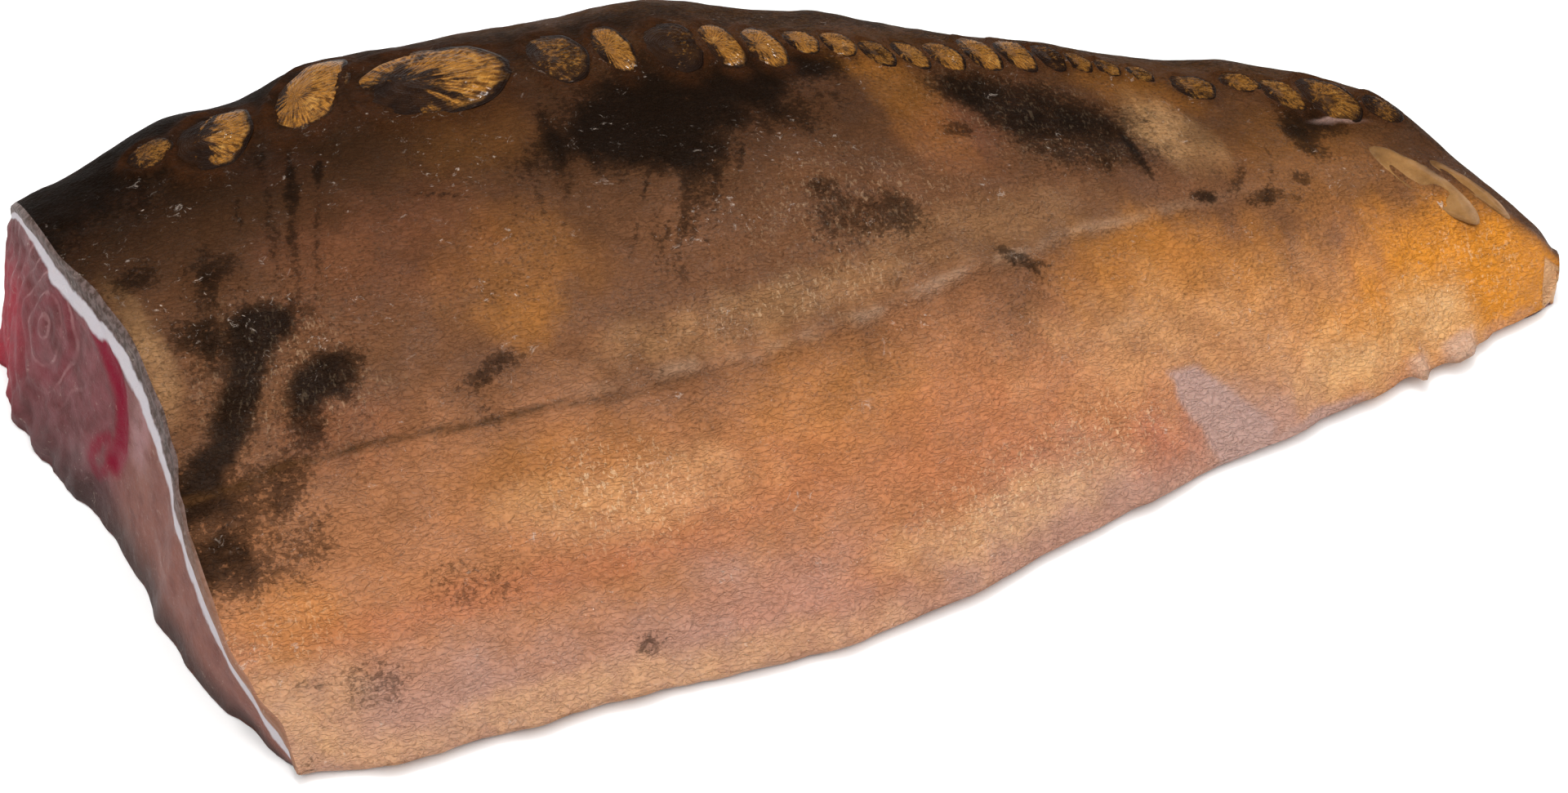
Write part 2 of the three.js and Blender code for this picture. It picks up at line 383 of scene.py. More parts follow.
# dark pigment: share along, share round, half length and half width in mm, turn, strength
PIGMENT = {
    "patch on the back": (0.35, 0.61, 28, 15, -6, 0.9),
    "patch on the back, fore": (0.31, 0.565, 14, 11, 0, 1.0),
    "patch on the back, hind": (0.40, 0.64, 15, 8, 12, 0.95),
    "patch on the back, low": (0.335, 0.515, 9, 8, 0, 0.9),
    "drip one": (0.32, 0.455, 1.6, 14, -22, 0.45),
    "drip two": (0.335, 0.475, 2.4, 9, -22, 0.5),
    "drip three": (0.301, 0.43, 1.4, 11, -16, 0.35),
    "streak one": (0.255, 0.49, 1.2, 9, -8, 0.42),
    "streak two": (0.27, 0.53, 1.6, 9, -8, 0.42),
    "streak three": (0.262, 0.55, 5, 5, 0, 0.45),
    "second patch": (0.53, 0.60, 20, 9, 0, 0.66),
    "second patch, low": (0.545, 0.53, 17, 10, 0, 0.55),
    "second patch, fore": (0.50, 0.63, 9, 6, 0, 0.65),
    "second patch, tail": (0.578, 0.48, 1.5, 9, 4, 0.7),
    "second patch, speck": (0.475, 0.53, 4, 3, 0, 0.5),
    "dark by the plates": (0.69, 0.575, 8, 6, 30, 0.8),
    "dark by the plates, low": (0.675, 0.50, 4, 7, 20, 0.6),
    "dark by the plates, high": (0.72, 0.65, 12, 4, 10, 0.7),
    "shoulder blot": (0.085, 0.435, 10, 5, 10, 0.9),
    "shoulder blot, high": (0.05, 0.46, 5, 4, -30, 0.6),
    "shoulder trunk": (0.062, 0.39, 13, 4, 42, 0.85),
    "shoulder trunk, low": (0.03, 0.33, 11, 4.5, 42, 0.85),
    "shoulder blot two": (0.115, 0.365, 8, 4, 12, 0.85),
    "shoulder blot two, low": (0.09, 0.325, 4, 7, -12, 0.65),
    "cut blot": (0.012, 0.30, 6, 6, 20, 0.85),
    "cut blot, low": (0.012, 0.225, 7, 6, 15, 0.8),
    "cut blot, mid": (0.045, 0.27, 13, 7, 25, 0.55),
    "cut blot, foot": (0.045, 0.205, 14, 6, 15, 0.42),
    "shoulder wash": (0.06, 0.38, 34, 26, 0, 0.22),
    "faint one": (0.03, 0.56, 6, 4, 0, 0.55),
    "faint two": (0.078, 0.525, 5, 5, 0, 0.55),
    "faint three": (0.065, 0.48, 2.2, 8, -20, 0.45),
    "side blot": (0.2, 0.325, 7, 3, 14, 0.62),
    "side blot, low": (0.188, 0.285, 2.6, 5, 10, 0.36),
    "foot stipple": (0.067, 0.08, 8, 5, 0, 0.36),
    "foot stipple two": (0.03, 0.085, 4, 2, 0, 0.3),
    "belly smudge": (0.15, 0.135, 13, 6, 0, 0.3),
    "belly spot": (0.23, 0.045, 4, 2.4, 0, 0.62),
    "corner stipple": (0.012, 0.008, 5, 2, 0, 0.3),
    "flank cloud": (0.40, 0.405, 11, 8, -10, 0.52),
    "flank cloud, high": (0.388, 0.445, 4, 3, 0, 0.5),
    "flank cloud, hind": (0.425, 0.40, 5, 6, 0, 0.42),
    "scratches": (0.465, 0.33, 1, 4, 25, 0.6),
    "scratches, mid": (0.478, 0.322, 1, 6, 28, 0.6),
    "scratches, hind": (0.487, 0.315, 4, 1, -30, 0.55),
    "tail speck one": (0.597, 0.395, 3, 2, 0, 0.7),
    "tail speck two": (0.628, 0.378, 5, 2.2, 10, 0.62),
    "tail speck three": (0.617, 0.415, 5, 1.6, 40, 0.55),
    "tail speck four": (0.655, 0.41, 3, 2, 0, 0.55),
    "tail thread": (0.64, 0.45, 1.2, 9, -24, 0.45),
    "tail speck five": (0.645, 0.37, 3, 1.5, 0, 0.42),
    "thin vein": (0.565, 0.22, 0.6, 12, -30, 0.28),
    "hairline": (0.215, 0.53, 8, 0.5, -28, 0.6),
    "nape shade": (0.03, 0.73, 40, 17, 0, 0.78),
    "ridge shade one": (0.155, 0.78, 30, 12, 0, 0.62),
    "ridge shade two": (0.27, 0.74, 42, 13, 0, 0.62),
    "ridge shade three": (0.40, 0.78, 40, 13, 0, 0.45),
    "ridge shade four": (0.53, 0.84, 38, 12, 0, 0.4),
    "ridge shade five": (0.68, 0.86, 34, 12, 0, 0.4),
    "behind the great scale": (0.235, 0.70, 14, 8, 0, 0.7),
    "ridge shade six": (0.79, 0.72, 12, 6, 0, 0.35),
}
# brown streaks running down from the scales
DRIPS = [
    ((0.155, 0.66), (0.118, 0.44), 1.3, 0.75), ((0.165, 0.62), (0.13, 0.45), 1.0, 0.65),
    ((0.14, 0.66), (0.105, 0.42), 1.0, 0.55), ((0.345, 0.52), (0.30, 0.36), 0.9, 0.6),
    ((0.34, 0.5), (0.32, 0.40), 1.0, 0.5), ((0.32, 0.5), (0.292, 0.35), 0.7, 0.45),
    ((0.25, 0.56), (0.245, 0.43), 0.7, 0.35), ((0.06, 0.53), (0.045, 0.44), 1.0, 0.35),
    ((0.315, 0.52), (0.283, 0.40), 0.7, 0.7), ((0.325, 0.50), (0.29, 0.37), 0.6, 0.7),
    ((0.333, 0.50), (0.302, 0.385), 0.9, 0.8), ((0.352, 0.53), (0.327, 0.42), 0.8, 0.7),
    ((0.36, 0.52), (0.343, 0.45), 0.6, 0.6), ((0.272, 0.58), (0.25, 0.47), 0.7, 0.55),
    ((0.264, 0.58), (0.243, 0.48), 0.6, 0.5), ((0.284, 0.56), (0.262, 0.46), 0.6, 0.5),
    ((0.115, 0.60), (0.088, 0.47), 0.8, 0.5), ((0.15, 0.6), (0.125, 0.50), 0.7, 0.5),
]
# orange fat showing through the skin
GLOW = {
    "tail": (0.86, 0.17, 36, 16, 0, 1.0),
    "tail, fore": (0.74, 0.17, 22, 16, 0, 0.8),
    "tail, low": (0.66, 0.10, 22, 14, 0, 0.55),
    "column": (0.455, 0.58, 8, 20, 4, 0.2),
    "column, high": (0.445, 0.66, 9, 7, 0, 0.25),
    "shoulder glow": (0.235, 0.43, 16, 14, 0, 0.16),
    "shoulder glow, low": (0.225, 0.37, 8, 6, 0, 0.25),
    "flank glow": (0.36, 0.215, 28, 12, 0, 0.2),
    "flank glow, fore": (0.21, 0.22, 20, 9, 0, 0.2),
    "hind glow": (0.57, 0.29, 28, 12, 0, 0.4),
    "foot glow": (0.04, 0.14, 9, 9, 0, 0.25),
    "upper glow": (0.24, 0.6, 14, 12, 0, 0.08),
    "ridge glow": (0.60, 0.66, 14, 10, 0, 0.2),
    "back by the plates": (0.68, 0.46, 26, 18, 0, 0.14),
}
# rusty blood tint
RUST = {
    "band": (0.17, 0.125, 42, 4, -2, 0.4),
    "band, hind": (0.30, 0.16, 26, 8, 2, 0.3),
    "wrinkles": (0.525, 0.095, 9, 10, 0, 0.7),
    "flank": (0.43, 0.15, 28, 14, 0, 0.35),
    "belly": (0.33, 0.05, 34, 10, 0, 0.25),
    "back flush": (0.47, 0.52, 10, 12, 0, 0.12),
    "shoulder flush": (0.17, 0.47, 22, 16, 0, 0.1),
    "shoulder flush, low": (0.115, 0.3, 16, 8, 0, 0.15),
}
# pale wet fat, and painted highlights where the wet skin is glossy: the three gleams are painted
# highlight, the tail patches pale fat with a painted highlight on it
PALE_FAT_AND_HIGHLIGHTS = {
    "tail patch": (0.71, 0.10, 11, 8, 0, 0.85),
    "tail patch, hind": (0.735, 0.085, 8, 7, 0, 0.7),
    "tail patch, fore": (0.64, 0.07, 14, 7, 0, 0.8),
    "flank gleam": (0.42, 0.06, 26, 6, 0, 0.5),
    "side gleam": (0.27, 0.17, 18, 7, 0, 0.35),
    "shoulder gleam": (0.21, 0.19, 12, 6, 0, 0.3),
    "belly rim": (0.2, 0.01, 70, 5, 0, 0.45),
    "corner": (0.01, 0.06, 16, 8, 0, 0.45),
    "grey by the cut": (0.012, 0.46, 5, 14, 0, 0.3),
    "mid tail": (0.56, 0.18, 38, 14, 0, 0.35),
    "above the fold": (0.33, 0.32, 34, 6, 4, 0.2),
    "above the fold, hind": (0.46, 0.37, 30, 8, 8, 0.12),
    "back patch": (0.60, 0.54, 8, 14, 0, 0.4),
}
# finely wrinkled places where painted glints lie on the crests of the wrinkles
PAINTED_GLINTS = {
    "side": (0.24, 0.185, 18, 12, -10, 0.9),
    "hind": (0.45, 0.09, 34, 9, 6, 0.9),
    "back": (0.53, 0.57, 26, 13, 0, 0.3),
    "back, fore": (0.40, 0.42, 24, 14, 0, 0.3),
    "shoulder": (0.09, 0.38, 18, 16, 0, 0.35),
    "tail": (0.80, 0.2, 16, 10, 0, 0.6),
    "tail, low": (0.68, 0.13, 30, 9, 0, 0.45),
    "fold": (0.36, 0.325, 26, 5, 6, 0.5),
    "foot": (0.03, 0.13, 12, 8, 0, 0.5),
}
# two more places, laid out as in the tables above but for their strength
BRISTLY_SCAR = (0.711, 0.592, 6, 1.0, 18)
BLOOD_WRINKLES = (0.525, 0.09, 10, 11, 0)
SMALL_STUB, LONG_STUB = 0.697, 0.742  # shares along of the two stubs of the lower fin
# skin scraped down to the grey underlayer: corners at shares along and round
SCRAPED = [(0.539, 0.147), (0.56, 0.143), (0.577, 0.09), (0.592, 0.03), (0.592, -0.02),
           (0.562, -0.02), (0.553, 0.05), (0.545, 0.10)]


def blot(u, t, place):
    """A soft ragged spot, from 0 outside to its strength inside."""
    at, high, long, wide, turn, strength = place
    x = run_at(u) - run_at(at)
    y = (t - high) * girth_at(u)
    here = np.stack([x, 0.6 * y, np.full_like(x, 300 * at)], -1)
    reach = min(wide, 9)
    x = x + reach * 0.34 * blot_grain.layered(here, 1.6 * reach + 3, 3)
    y = y + reach * 0.34 * blot_grain.layered(here + 90, 1.6 * reach + 3, 3)
    c, s = math.cos(math.radians(turn)), math.sin(math.radians(turn))
    along, over = (x * c + y * s) / long, (y * c - x * s) / wide
    ragged = 0.22 * blot_grain.layered(here + 40, 6, 3)
    ragged += 0.15 * blot_grain.at(here * (1, 0.35, 1), 1.6)
    return strength * step(1.5, 0.35, np.hypot(along, over) + ragged)


def off_segment(x, y, start, end):
    """Distance from a straight line between two points, and the share of the way along it."""
    (ax, ay), (bx, by) = start, end
    dx, dy = bx - ax, by - ay
    w = np.clip(((x - ax) * dx + (y - ay) * dy) / (dx * dx + dy * dy), 0, 1)
    return np.hypot(x - ax - dx * w, y - ay - dy * w), w


def streak(u, t, start, end, wide, strength):
    """A thin line drawn between two places on the skin."""
    x, y = run_at(u), t * girth_at(u)
    ends = [(run_at(along), high * girth_at(along)) for along, high in (start, end)]
    away, w = off_segment(x, y, *ends)
    wobble = 0.8 * blot_grain.at(np.stack([x, y, x * 0], -1), 6)
    return strength * step(wide * 1.4, wide * 0.3, away + wobble) * (1 - 0.6 * w)


def tail_stub(u, t):
    """The smooth flat where the tail fin was trimmed off."""
    return step(0.905, 0.912, u) * step(0.38, 0.34, t)


def fin_stubs(u, t):
    """The two stubs of the fin below the tail, a small one and a long one."""
    y = t * girth_at(u)
    small = np.exp(-(((run_at(u) - run_at(SMALL_STUB)) / 2.2) ** 2))
    long = np.exp(-(((run_at(u) - run_at(LONG_STUB)) / 5.2) ** 4))
    return np.maximum(small, long) * step(4.6, 2.6, y)


def rim_fat(u, t):
    """Bare greyish fat: strips of the belly edge, the two fin stubs and the bristly scar."""
    y = t * girth_at(u) + 0.8 * blot_grain.at(np.stack([run_at(u), t * 0, t * 0], -1), 5)
    hind = 0.8 * step(0.57, 0.60, u) * step(0.66, 0.64, u) * step(3.0, 1.4, y)
    tail = 0.25 * step(0.76, 0.78, u) * step(0.88, 0.86, u) * step(2.6, 1.0, y)
    bristles = blot(u, t, (*BRISTLY_SCAR, 0.5))
    return np.maximum(np.maximum(hind, fin_stubs(u, t)), np.maximum(tail, bristles))


def gathered(u, t, places):
    """One mask for many blots, which never passes 1."""
    total = np.zeros_like(u)
    for place in places:
        total = 1 - (1 - total) * (1 - blot(u, t, place))
    return total


def inside(u, t, corners):
    """1 well inside a closed outline of places, 0 outside, with a ragged rim."""
    x, y = run_at(u), t * girth_at(u)
    x = x + 1.1 * blot_grain.at(np.stack([x, y, x * 0 + 9], -1), 4)
    inner = np.zeros_like(u, bool)
    near = np.full_like(u, 1e3)
    points = [(float(run_at(a)), b * float(girth_at(a))) for a, b in corners]
    for (ax, ay), (bx, by) in zip(points, points[1:] + points[:1]):
        crosses = (ay > y) != (by > y)
        slope = ax + (bx - ax) * (y - ay) / (by - ay if abs(by - ay) > 1e-9 else 1e-9)
        inner ^= crosses & (x < slope)
        near = np.minimum(near, off_segment(x, y, (ax, ay), (bx, by))[0])
    return step(-0.9, 0.9, np.where(inner, near, -near))


def above_lateral_line(u, t):
    """Millimetres up the skin from the slightly wavering lateral line."""
    line = (t - eased(LATERAL_LINE, u)) * girth_at(u)
    return line + 0.7 * fine_grain.at(np.stack([run_at(u), u * 0, u * 0], -1), 9)


# ---- fine relief ----------------------------------------------------------

def scale_reach(u, t, scale):
    """How far a place is from a scale's middle, 1 at its rim, and which way: tail is +1."""
    u0, t0 = scale[0], round_at(scale[0], scale[1])
    y = (t - t0) * girth_at(u0) / (WIDTH * scale[3] / 2)
    x = (run_at(u) - run_at(u0) - LENGTH * scale[4] * y) / (LENGTH * scale[2] / 2)
    return np.hypot(x, y), x


def skin_relief(u, t, points):
    """Millimetres that the skin stands above its plain sag."""
    x, y = run_at(u), t * girth_at(u)
    relief = 0.22 * fine_grain.layered(points, 8, 2) + 0.08 * fine_grain.at(points, 2.4)
    drawn = np.stack([x / 14, (y + 0.12 * x) / 3.2, x * 0], -1)
    creased = step(-0.3, 0.5, broad_grain.at(points + 30, 28))
    relief += 0.32 * creased * (0.3 - np.abs(fine_grain.layered(drawn, 1, 2)))
    off_line = above_lateral_line(u, t)
    hind = step(0.72, 0.5, u)
    fold = step(0.2, 0.3, u) * step(0.64, 0.5, u)
    broken = 0.55 + 0.45 * fine_grain.at(np.stack([x, x * 0 + 7, x * 0], -1), 12)
    relief -= (0.4 + 0.25 * fold * broken) * hind * np.exp(-((off_line / 0.9) ** 2))
    relief += 0.75 * fold * broken * np.exp(-(((off_line - 2.6) / 2.0) ** 2))
    relief -= 0.5 * fold * broken * np.exp(-(((off_line - 6.5) / 1.8) ** 2))
    drape = np.stack([x / 22, (y + 0.10 * x) / 2.6, x * 0], -1)
    slack = step(0.2, 0.3, u) * step(0.62, 0.5, u) * np.exp(-(((off_line - 15) / 11) ** 2))
    relief += 0.9 * slack * (0.35 - np.abs(fine_grain.at(drape, 1)))
    fat = step(0.56, 0.66, u) * step(0.5, 0.3, t)
    relief += fat * (0.9 * broad_grain.at(points, 11) + 0.5 * fine_grain.at(points, 4.5))
    blood = blot(u, t, (*BLOOD_WRINKLES, 1))
    pinch = np.stack([x * 0.8 + y * 0.5, (y - x) * 0.15, x * 0], -1)
    relief += 0.35 * blood * (0.3 - np.abs(fine_grain.at(pinch, 2.4)))
    scraped = inside(u, t, SCRAPED)
    relief -= 0.55 * scraped * (1 + 0.3 * fine_grain.at(points, 2.5))
    for scale in SCALES:
        reach, forward = scale_reach(u, t, scale)
        near = np.exp(-(((reach - 1.14) / 0.13) ** 2))
        relief += near * (0.42 - 0.3 * np.clip(forward, -1, 1))
        relief -= 0.2 * step(1.0, 0.7, reach)
    for plate in TAIL_PLATES:
        reach, _ = scale_reach(u, t, plate)
        relief += 0.25 * np.exp(-(((reach - 1.12) / 0.12) ** 2))
    low = np.exp(-((y / 3.4) ** 2))
    relief += 2.5 * low * np.exp(-(((x - run_at(SMALL_STUB)) / 1.9) ** 2))
    relief += 3.0 * low * np.exp(-(((x - run_at(LONG_STUB)) / 4.6) ** 4))
    relief += 0.4 * blot(u, t, (*BRISTLY_SCAR, 1.0))
    relief -= 0.55 * tail_stub(u, t)
    return relief * step(0, 0.01, u) * step(1, 0.985, u)


CUT_GIRTH = 188  # mm round the skin at the head cut
CUT_TALL = 49  # mm of flesh in the middle of the head cut
# lines on the head cut, at shares round and up it
RED_WEDGE = [(0.545, 0.86), (0.52, 0.80), (0.49, 0.72), (0.475, 0.62), (0.468, 0.5), (0.475, 0.38)]
RED_FOOT = [(0.475, 0.40), (0.487, 0.28), (0.5, 0.2), (0.512, 0.28), (0.505, 0.40), (0.492, 0.46)]
RING_CENTRE = (0.64, 0.60)


def off_path(x, y, path):
    """Millimetres from a bent line on the head cut."""
    near = np.full_like(x, 1e3)
    points = [(a * CUT_GIRTH, b * CUT_TALL) for a, b in path]
    for start, end in zip(points, points[1:]):
        near = np.minimum(near, off_segment(x, y, start, end)[0])
    return near


def cut_rings(t, rise, points):
    """Counts the layers of muscle outwards from the middle of the back muscle."""
    x = (t - RING_CENTRE[0]) * CUT_GIRTH
    y = (rise - RING_CENTRE[1]) * CUT_TALL
    bend = 0.8 * flesh_grain.layered(points, 14, 2)
    return np.hypot(x * 0.85, y * 0.6) / 3.6 + bend


def off_middle(points):
    """Millimetres from the backbone's line along the underside."""
    return points[..., 1] - (70 + 0.12 * points[..., 0])


def under_rings(points):
    """Counts the W-shaped layers of muscle along the underside."""
    x, middle = points[..., 0], off_middle(points)
    chevron = 0.55 * np.abs(np.abs(middle) - 28)
    return (x + chevron + 3 * flesh_grain.at(points, 24)) / 8.5


def cut_relief(t, rise, rings, points):
    """Millimetres that the flesh of the head cut stands forward."""
    layers = 0.28 * np.cos(2 * np.pi * rings) * step(0.53, 0.6, t) * step(0.9, 0.8, rise)
    rough = 0.55 * flesh_grain.layered(points, 9, 3) * (0.3 + 0.7 * step(0.4, 0.6, t))
    x, y = t * CUT_GIRTH, rise * CUT_TALL
    groove = 0.8 * step(3, 0.5, off_path(x, y, RED_WEDGE))
    ragged = 1.0 * flesh_grain.layered(points * (1, 1, 0.35) + 60, 5, 3) * step(0.45, 0.0, rise)
    ragged = ragged * (0.35 + 0.65 * step(0.4, 0.6, t))
    fat = np.exp(-(((1 - rise) * CUT_TALL - 8) / 2.0) ** 2)
    lip = 0.7 * step(0.93, 0.99, rise)
    return layers + rough + ragged * step(0.03, 0.15, t) + 0.35 * fat + lip - groove


# ---- one fillet mesh ------------------------------------------------------

def box_cage(along, round_, up):
    """A closed box of faces, one metre a side, cut evenly along each of its sides."""
    bm = bmesh.new()
    bmesh.ops.create_cube(bm, size=1)
    bmesh.ops.translate(bm, verts=bm.verts, vec=(0.5, 0.5, 0.5))
    for axis, cuts in ((0, along), (1, round_), (2, up)):
        edges = [e for e in bm.edges
                 if abs(e.verts[0].co[axis] - e.verts[1].co[axis]) > 0.5]
        bmesh.ops.subdivide_edges(bm, edges=edges, cuts=cuts - 1, use_grid_fill=True)
    return bm


def refine(bm, chosen, cuts):
    """Cuts the edges of the chosen faces again."""
    edges = {e for f in bm.faces if chosen(f.calc_center_median()) for e in f.edges}
    bmesh.ops.subdivide_edges(bm, edges=list(edges), cuts=cuts, use_grid_fill=True)


def add_piece(name, bm, materials, node):
    """A finished piece that rides on the part's body in place of its solid."""
    mesh = bpy.data.meshes.new(name)
    bm.to_mesh(mesh)
    bm.free()
    for material in materials:
        mesh.materials.append(material)
    mesh.shade_smooth()
    piece = bpy.data.objects.new(name, mesh)
    bpy.context.scene.collection.objects.link(piece)
    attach(piece, "root")
    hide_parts(node)
    return piece


def read_points(mesh):
    points = np.zeros(len(mesh.vertices) * 3, np.float32)
    mesh.vertices.foreach_get("co", points)
    return points.reshape(-1, 3).astype(float)


def write_points(mesh, points):
    mesh.vertices.foreach_set("co", points.astype(np.float32).ravel())
    mesh.update()


def write_mask(mesh, name, values):
    """A value at each point of a mesh, for a material to read by its name."""
    layer = mesh.attributes.new(name, "FLOAT", "POINT")
    layer.data.foreach_set("value", np.asarray(values, np.float32))


def vertex_normals(mesh):
    out = np.zeros(len(mesh.vertices) * 3, np.float32)
    mesh.vertex_normals.foreach_get("vector", out)
    return out.reshape(-1, 3)


def along_share(s):
    """Share of the curves for a share of the real length, so that faces are even."""
    return np.interp(s * run_lengths[-1], run_lengths, U_STEPS)


CAGE = (106, 63, 14)  # faces of the fillet's cage along it, round it and up it
HEAD_CUT = 0.004  # share of the length taken up by the head cut itself
TAIL_END = 0.99  # from this share of the length on, the cut end of the tail
NO_SKIN = 60  # a depth under the skin that shows plain flesh


def model_fillet(settings):
    """The fillet, from a fine cage that is bent to the sagging body and then given its relief."""
    fine = 2
    bm = box_cage(*CAGE)
    refine(bm, lambda c: c.z > 0.999 or c.x < 0.001, fine)
    bmesh.ops.recalc_face_normals(bm, faces=bm.faces)
    for face in bm.faces:
        place = face.calc_center_median()
        face.material_index = 0 if place.z > 0.1 and place.x > 0.001 else 1
        face.smooth = True
    piece = add_piece("fillet_body", bm, [skin_material(settings), flesh_material(settings)],
                      "fillet")
    mesh = piece.data
    s, t, rise = np.clip(read_points(mesh), 0, 1).T
    is_cut, is_base = s < HEAD_CUT, rise < 0.001
    u = along_share(s)
    across = across_at(u, t)
    points = body_point(u, across, t, rise)
    write_points(mesh, points)

    on_skin = step(0.995, 1, rise)
    marked = step(0.1, 0.4, rise)
    on_cut = step(HEAD_CUT, 0, s) * step(1, 0.97, rise)
    rings = np.where(is_cut, cut_rings(t, rise, points), under_rings(points))
    rough_edge = 0.35 * flesh_grain.layered(points, 4, 2)
    rough_edge = rough_edge * step(0.996, 0.9, rise) * step(0, 0.1, rise)
    relief = settings.relief * skin_relief(u, t, points) * on_skin
    relief = relief + on_cut * cut_relief(t, rise, rings, points) + (1 - on_cut) * rough_edge
    moved = points + vertex_normals(mesh) * relief[:, None]
    moved[:, 2] = np.where(is_base, 0.15 + 0.12 * np.cos(2 * np.pi * rings), moved[:, 2])
    moved[:, 2] = np.maximum(moved[:, 2], 0)
    write_points(mesh, in_frame(moved))

    mark_skin(mesh, u, t, marked, on_skin)
    mark_flesh(mesh, s, u, t, rise, across, points, moved, rings)


def mark_skin(mesh, u, t, marked, on_skin):
    """Writes where the skin has its stains, tints, lines and bare places."""
    for name, places in (("pigment", PIGMENT), ("glow", GLOW), ("rust", RUST), ("pale", PALE_FAT_AND_HIGHLIGHTS),
                         ("painted_glint", PAINTED_GLINTS)):
        mask = gathered(u, t, places.values())
        if name == "glow":
            mask = mask * (1 - step(0.34, 0.52, t) * step(0.68, 0.78, u))
        if name == "pigment":
            for start, end, wide, strength in DRIPS:
                mask = np.maximum(mask, streak(u, t, start, end, wide, strength))
        write_mask(mesh, name, mask * marked)
    line = above_lateral_line(u, t)
    write_mask(mesh, "line", np.exp(-((line / 0.8) ** 2)) * step(0.34, 0.2, u))
    # where a painted highlight runs along the crest of the fold over the lateral line
    fold = step(0.2, 0.3, u) * step(0.66, 0.5, u)
    write_mask(mesh, "fold", fold * np.exp(-(((line - 2.4) / 1.5) ** 2)))
    halo = np.zeros_like(u)
    for scale in SCALES:
        reach, _ = scale_reach(u, t, scale)
        halo = np.maximum(halo, np.exp(-(((reach - 1.05) / 0.28) ** 2)))
    write_mask(mesh, "halo", halo * on_skin)
    write_mask(mesh, "height", t)
    write_mask(mesh, "length", u)
    write_mask(mesh, "scraped", np.maximum(inside(u, t, SCRAPED), rim_fat(u, t)) * marked)
    write_mask(mesh, "stub", np.maximum(tail_stub(u, t), 0.6 * fin_stubs(u, t)) * marked)


def mark_flesh(mesh, s, u, t, rise, across, points, moved, rings):
    """Writes the layers and colours of the flesh at the head cut, the tail and the underside."""
    is_cut, is_tail, is_base = s < HEAD_CUT, s > TAIL_END, rise < 0.001
    tall = skin_height(u, across)
    thin = 1 + 0.9 * step(0.6, 0.78, t) - 0.28 * np.exp(-(((t - 0.3) / 0.16) ** 2))
    deep = np.where(is_cut, (1 - rise) * np.maximum(tall, 12) * thin, NO_SKIN)
    write_mask(mesh, "deep", np.where(is_base, NO_SKIN, deep))
    write_mask(mesh, "rings", rings)
    layered = step(0.53, 0.6, t) * step(0.25, 0.5, rise)
    write_mask(mesh, "layered", np.where(is_cut, layered, 1))

    x, y = t * CUT_GIRTH, rise * CUT_TALL
    wedge = step(4.4, 1.6, off_path(x, y, RED_WEDGE))
    foot = 0.85 * step(1.8, 0.6, off_path(x, y, RED_FOOT))
    back = 0.35 * step(0.60, 0.74, t) * step(0.75, 0.45, rise)
    ring = np.maximum(0, 0.3 - np.abs(np.hypot(x - 0.62 * CUT_GIRTH, (y - 30) * 0.6) - 6) / 8)
    cut_red = np.maximum(np.maximum(wedge, foot), np.maximum(back, ring))
    from_middle = np.abs(off_middle(moved)) + 2 * flesh_grain.at(points, 12)
    under_red = np.where(is_base, 0.7 * step(14, 3, from_middle), np.where(is_tail, 0, 0.1))
    write_mask(mesh, "red", np.where(is_cut, cut_red, under_red))
    write_mask(mesh, "rosy", np.where(is_cut, step(0.64, 0.74, t) * step(0.8, 0.45, rise), 0))
    pale = step(6, 2, np.hypot(x - 0.435 * CUT_GIRTH, (y - 0.70 * CUT_TALL) * 0.5))
    write_mask(mesh, "fatty", np.where(is_cut, pale, np.where(is_tail, 0.9, 0.1)))
    write_mask(mesh, "shade", np.where(is_cut, step(0.34, 0.02, rise) * step(0.75, 0.5, t), 0))


# ---- the scales -----------------------------------------------------------

BIG_SCALE = 12  # mm; longer scales get finer meshes and more spokes
FOCUS = -0.35  # the place along a scale, as a share of half its length, that its spokes leave


def spun_plate(rings, sides):
    """A thin plate: half of its outline, over the top and back underneath, spun round."""
    bm = bmesh.new()
    over = [(k / rings, 0, 1) for k in range(rings + 1)]
    under = [(k / rings, 0, 0) for k in range(rings, -1, -3)]
    verts = [bm.verts.new(co) for co in over + under]
    edges = [bm.edges.new(pair) for pair in zip(verts, verts[1:])]
    bmesh.ops.spin(bm, geom=verts + edges, cent=(0, 0, 0), axis=(0, 0, 1), angle=2 * math.pi,
                   steps=sides, use_merge=True)
    bmesh.ops.remove_doubles(bm, verts=bm.verts, dist=1e-5)
    bmesh.ops.recalc_face_normals(bm, faces=bm.faces)
    # merging leaves the faces in another order on each run, so they are put in a fixed one
    bm.verts.index_update()
    bm.faces.sort(key=lambda f: f.verts[0].index * len(bm.verts) + f.verts[2].index)
    return bm


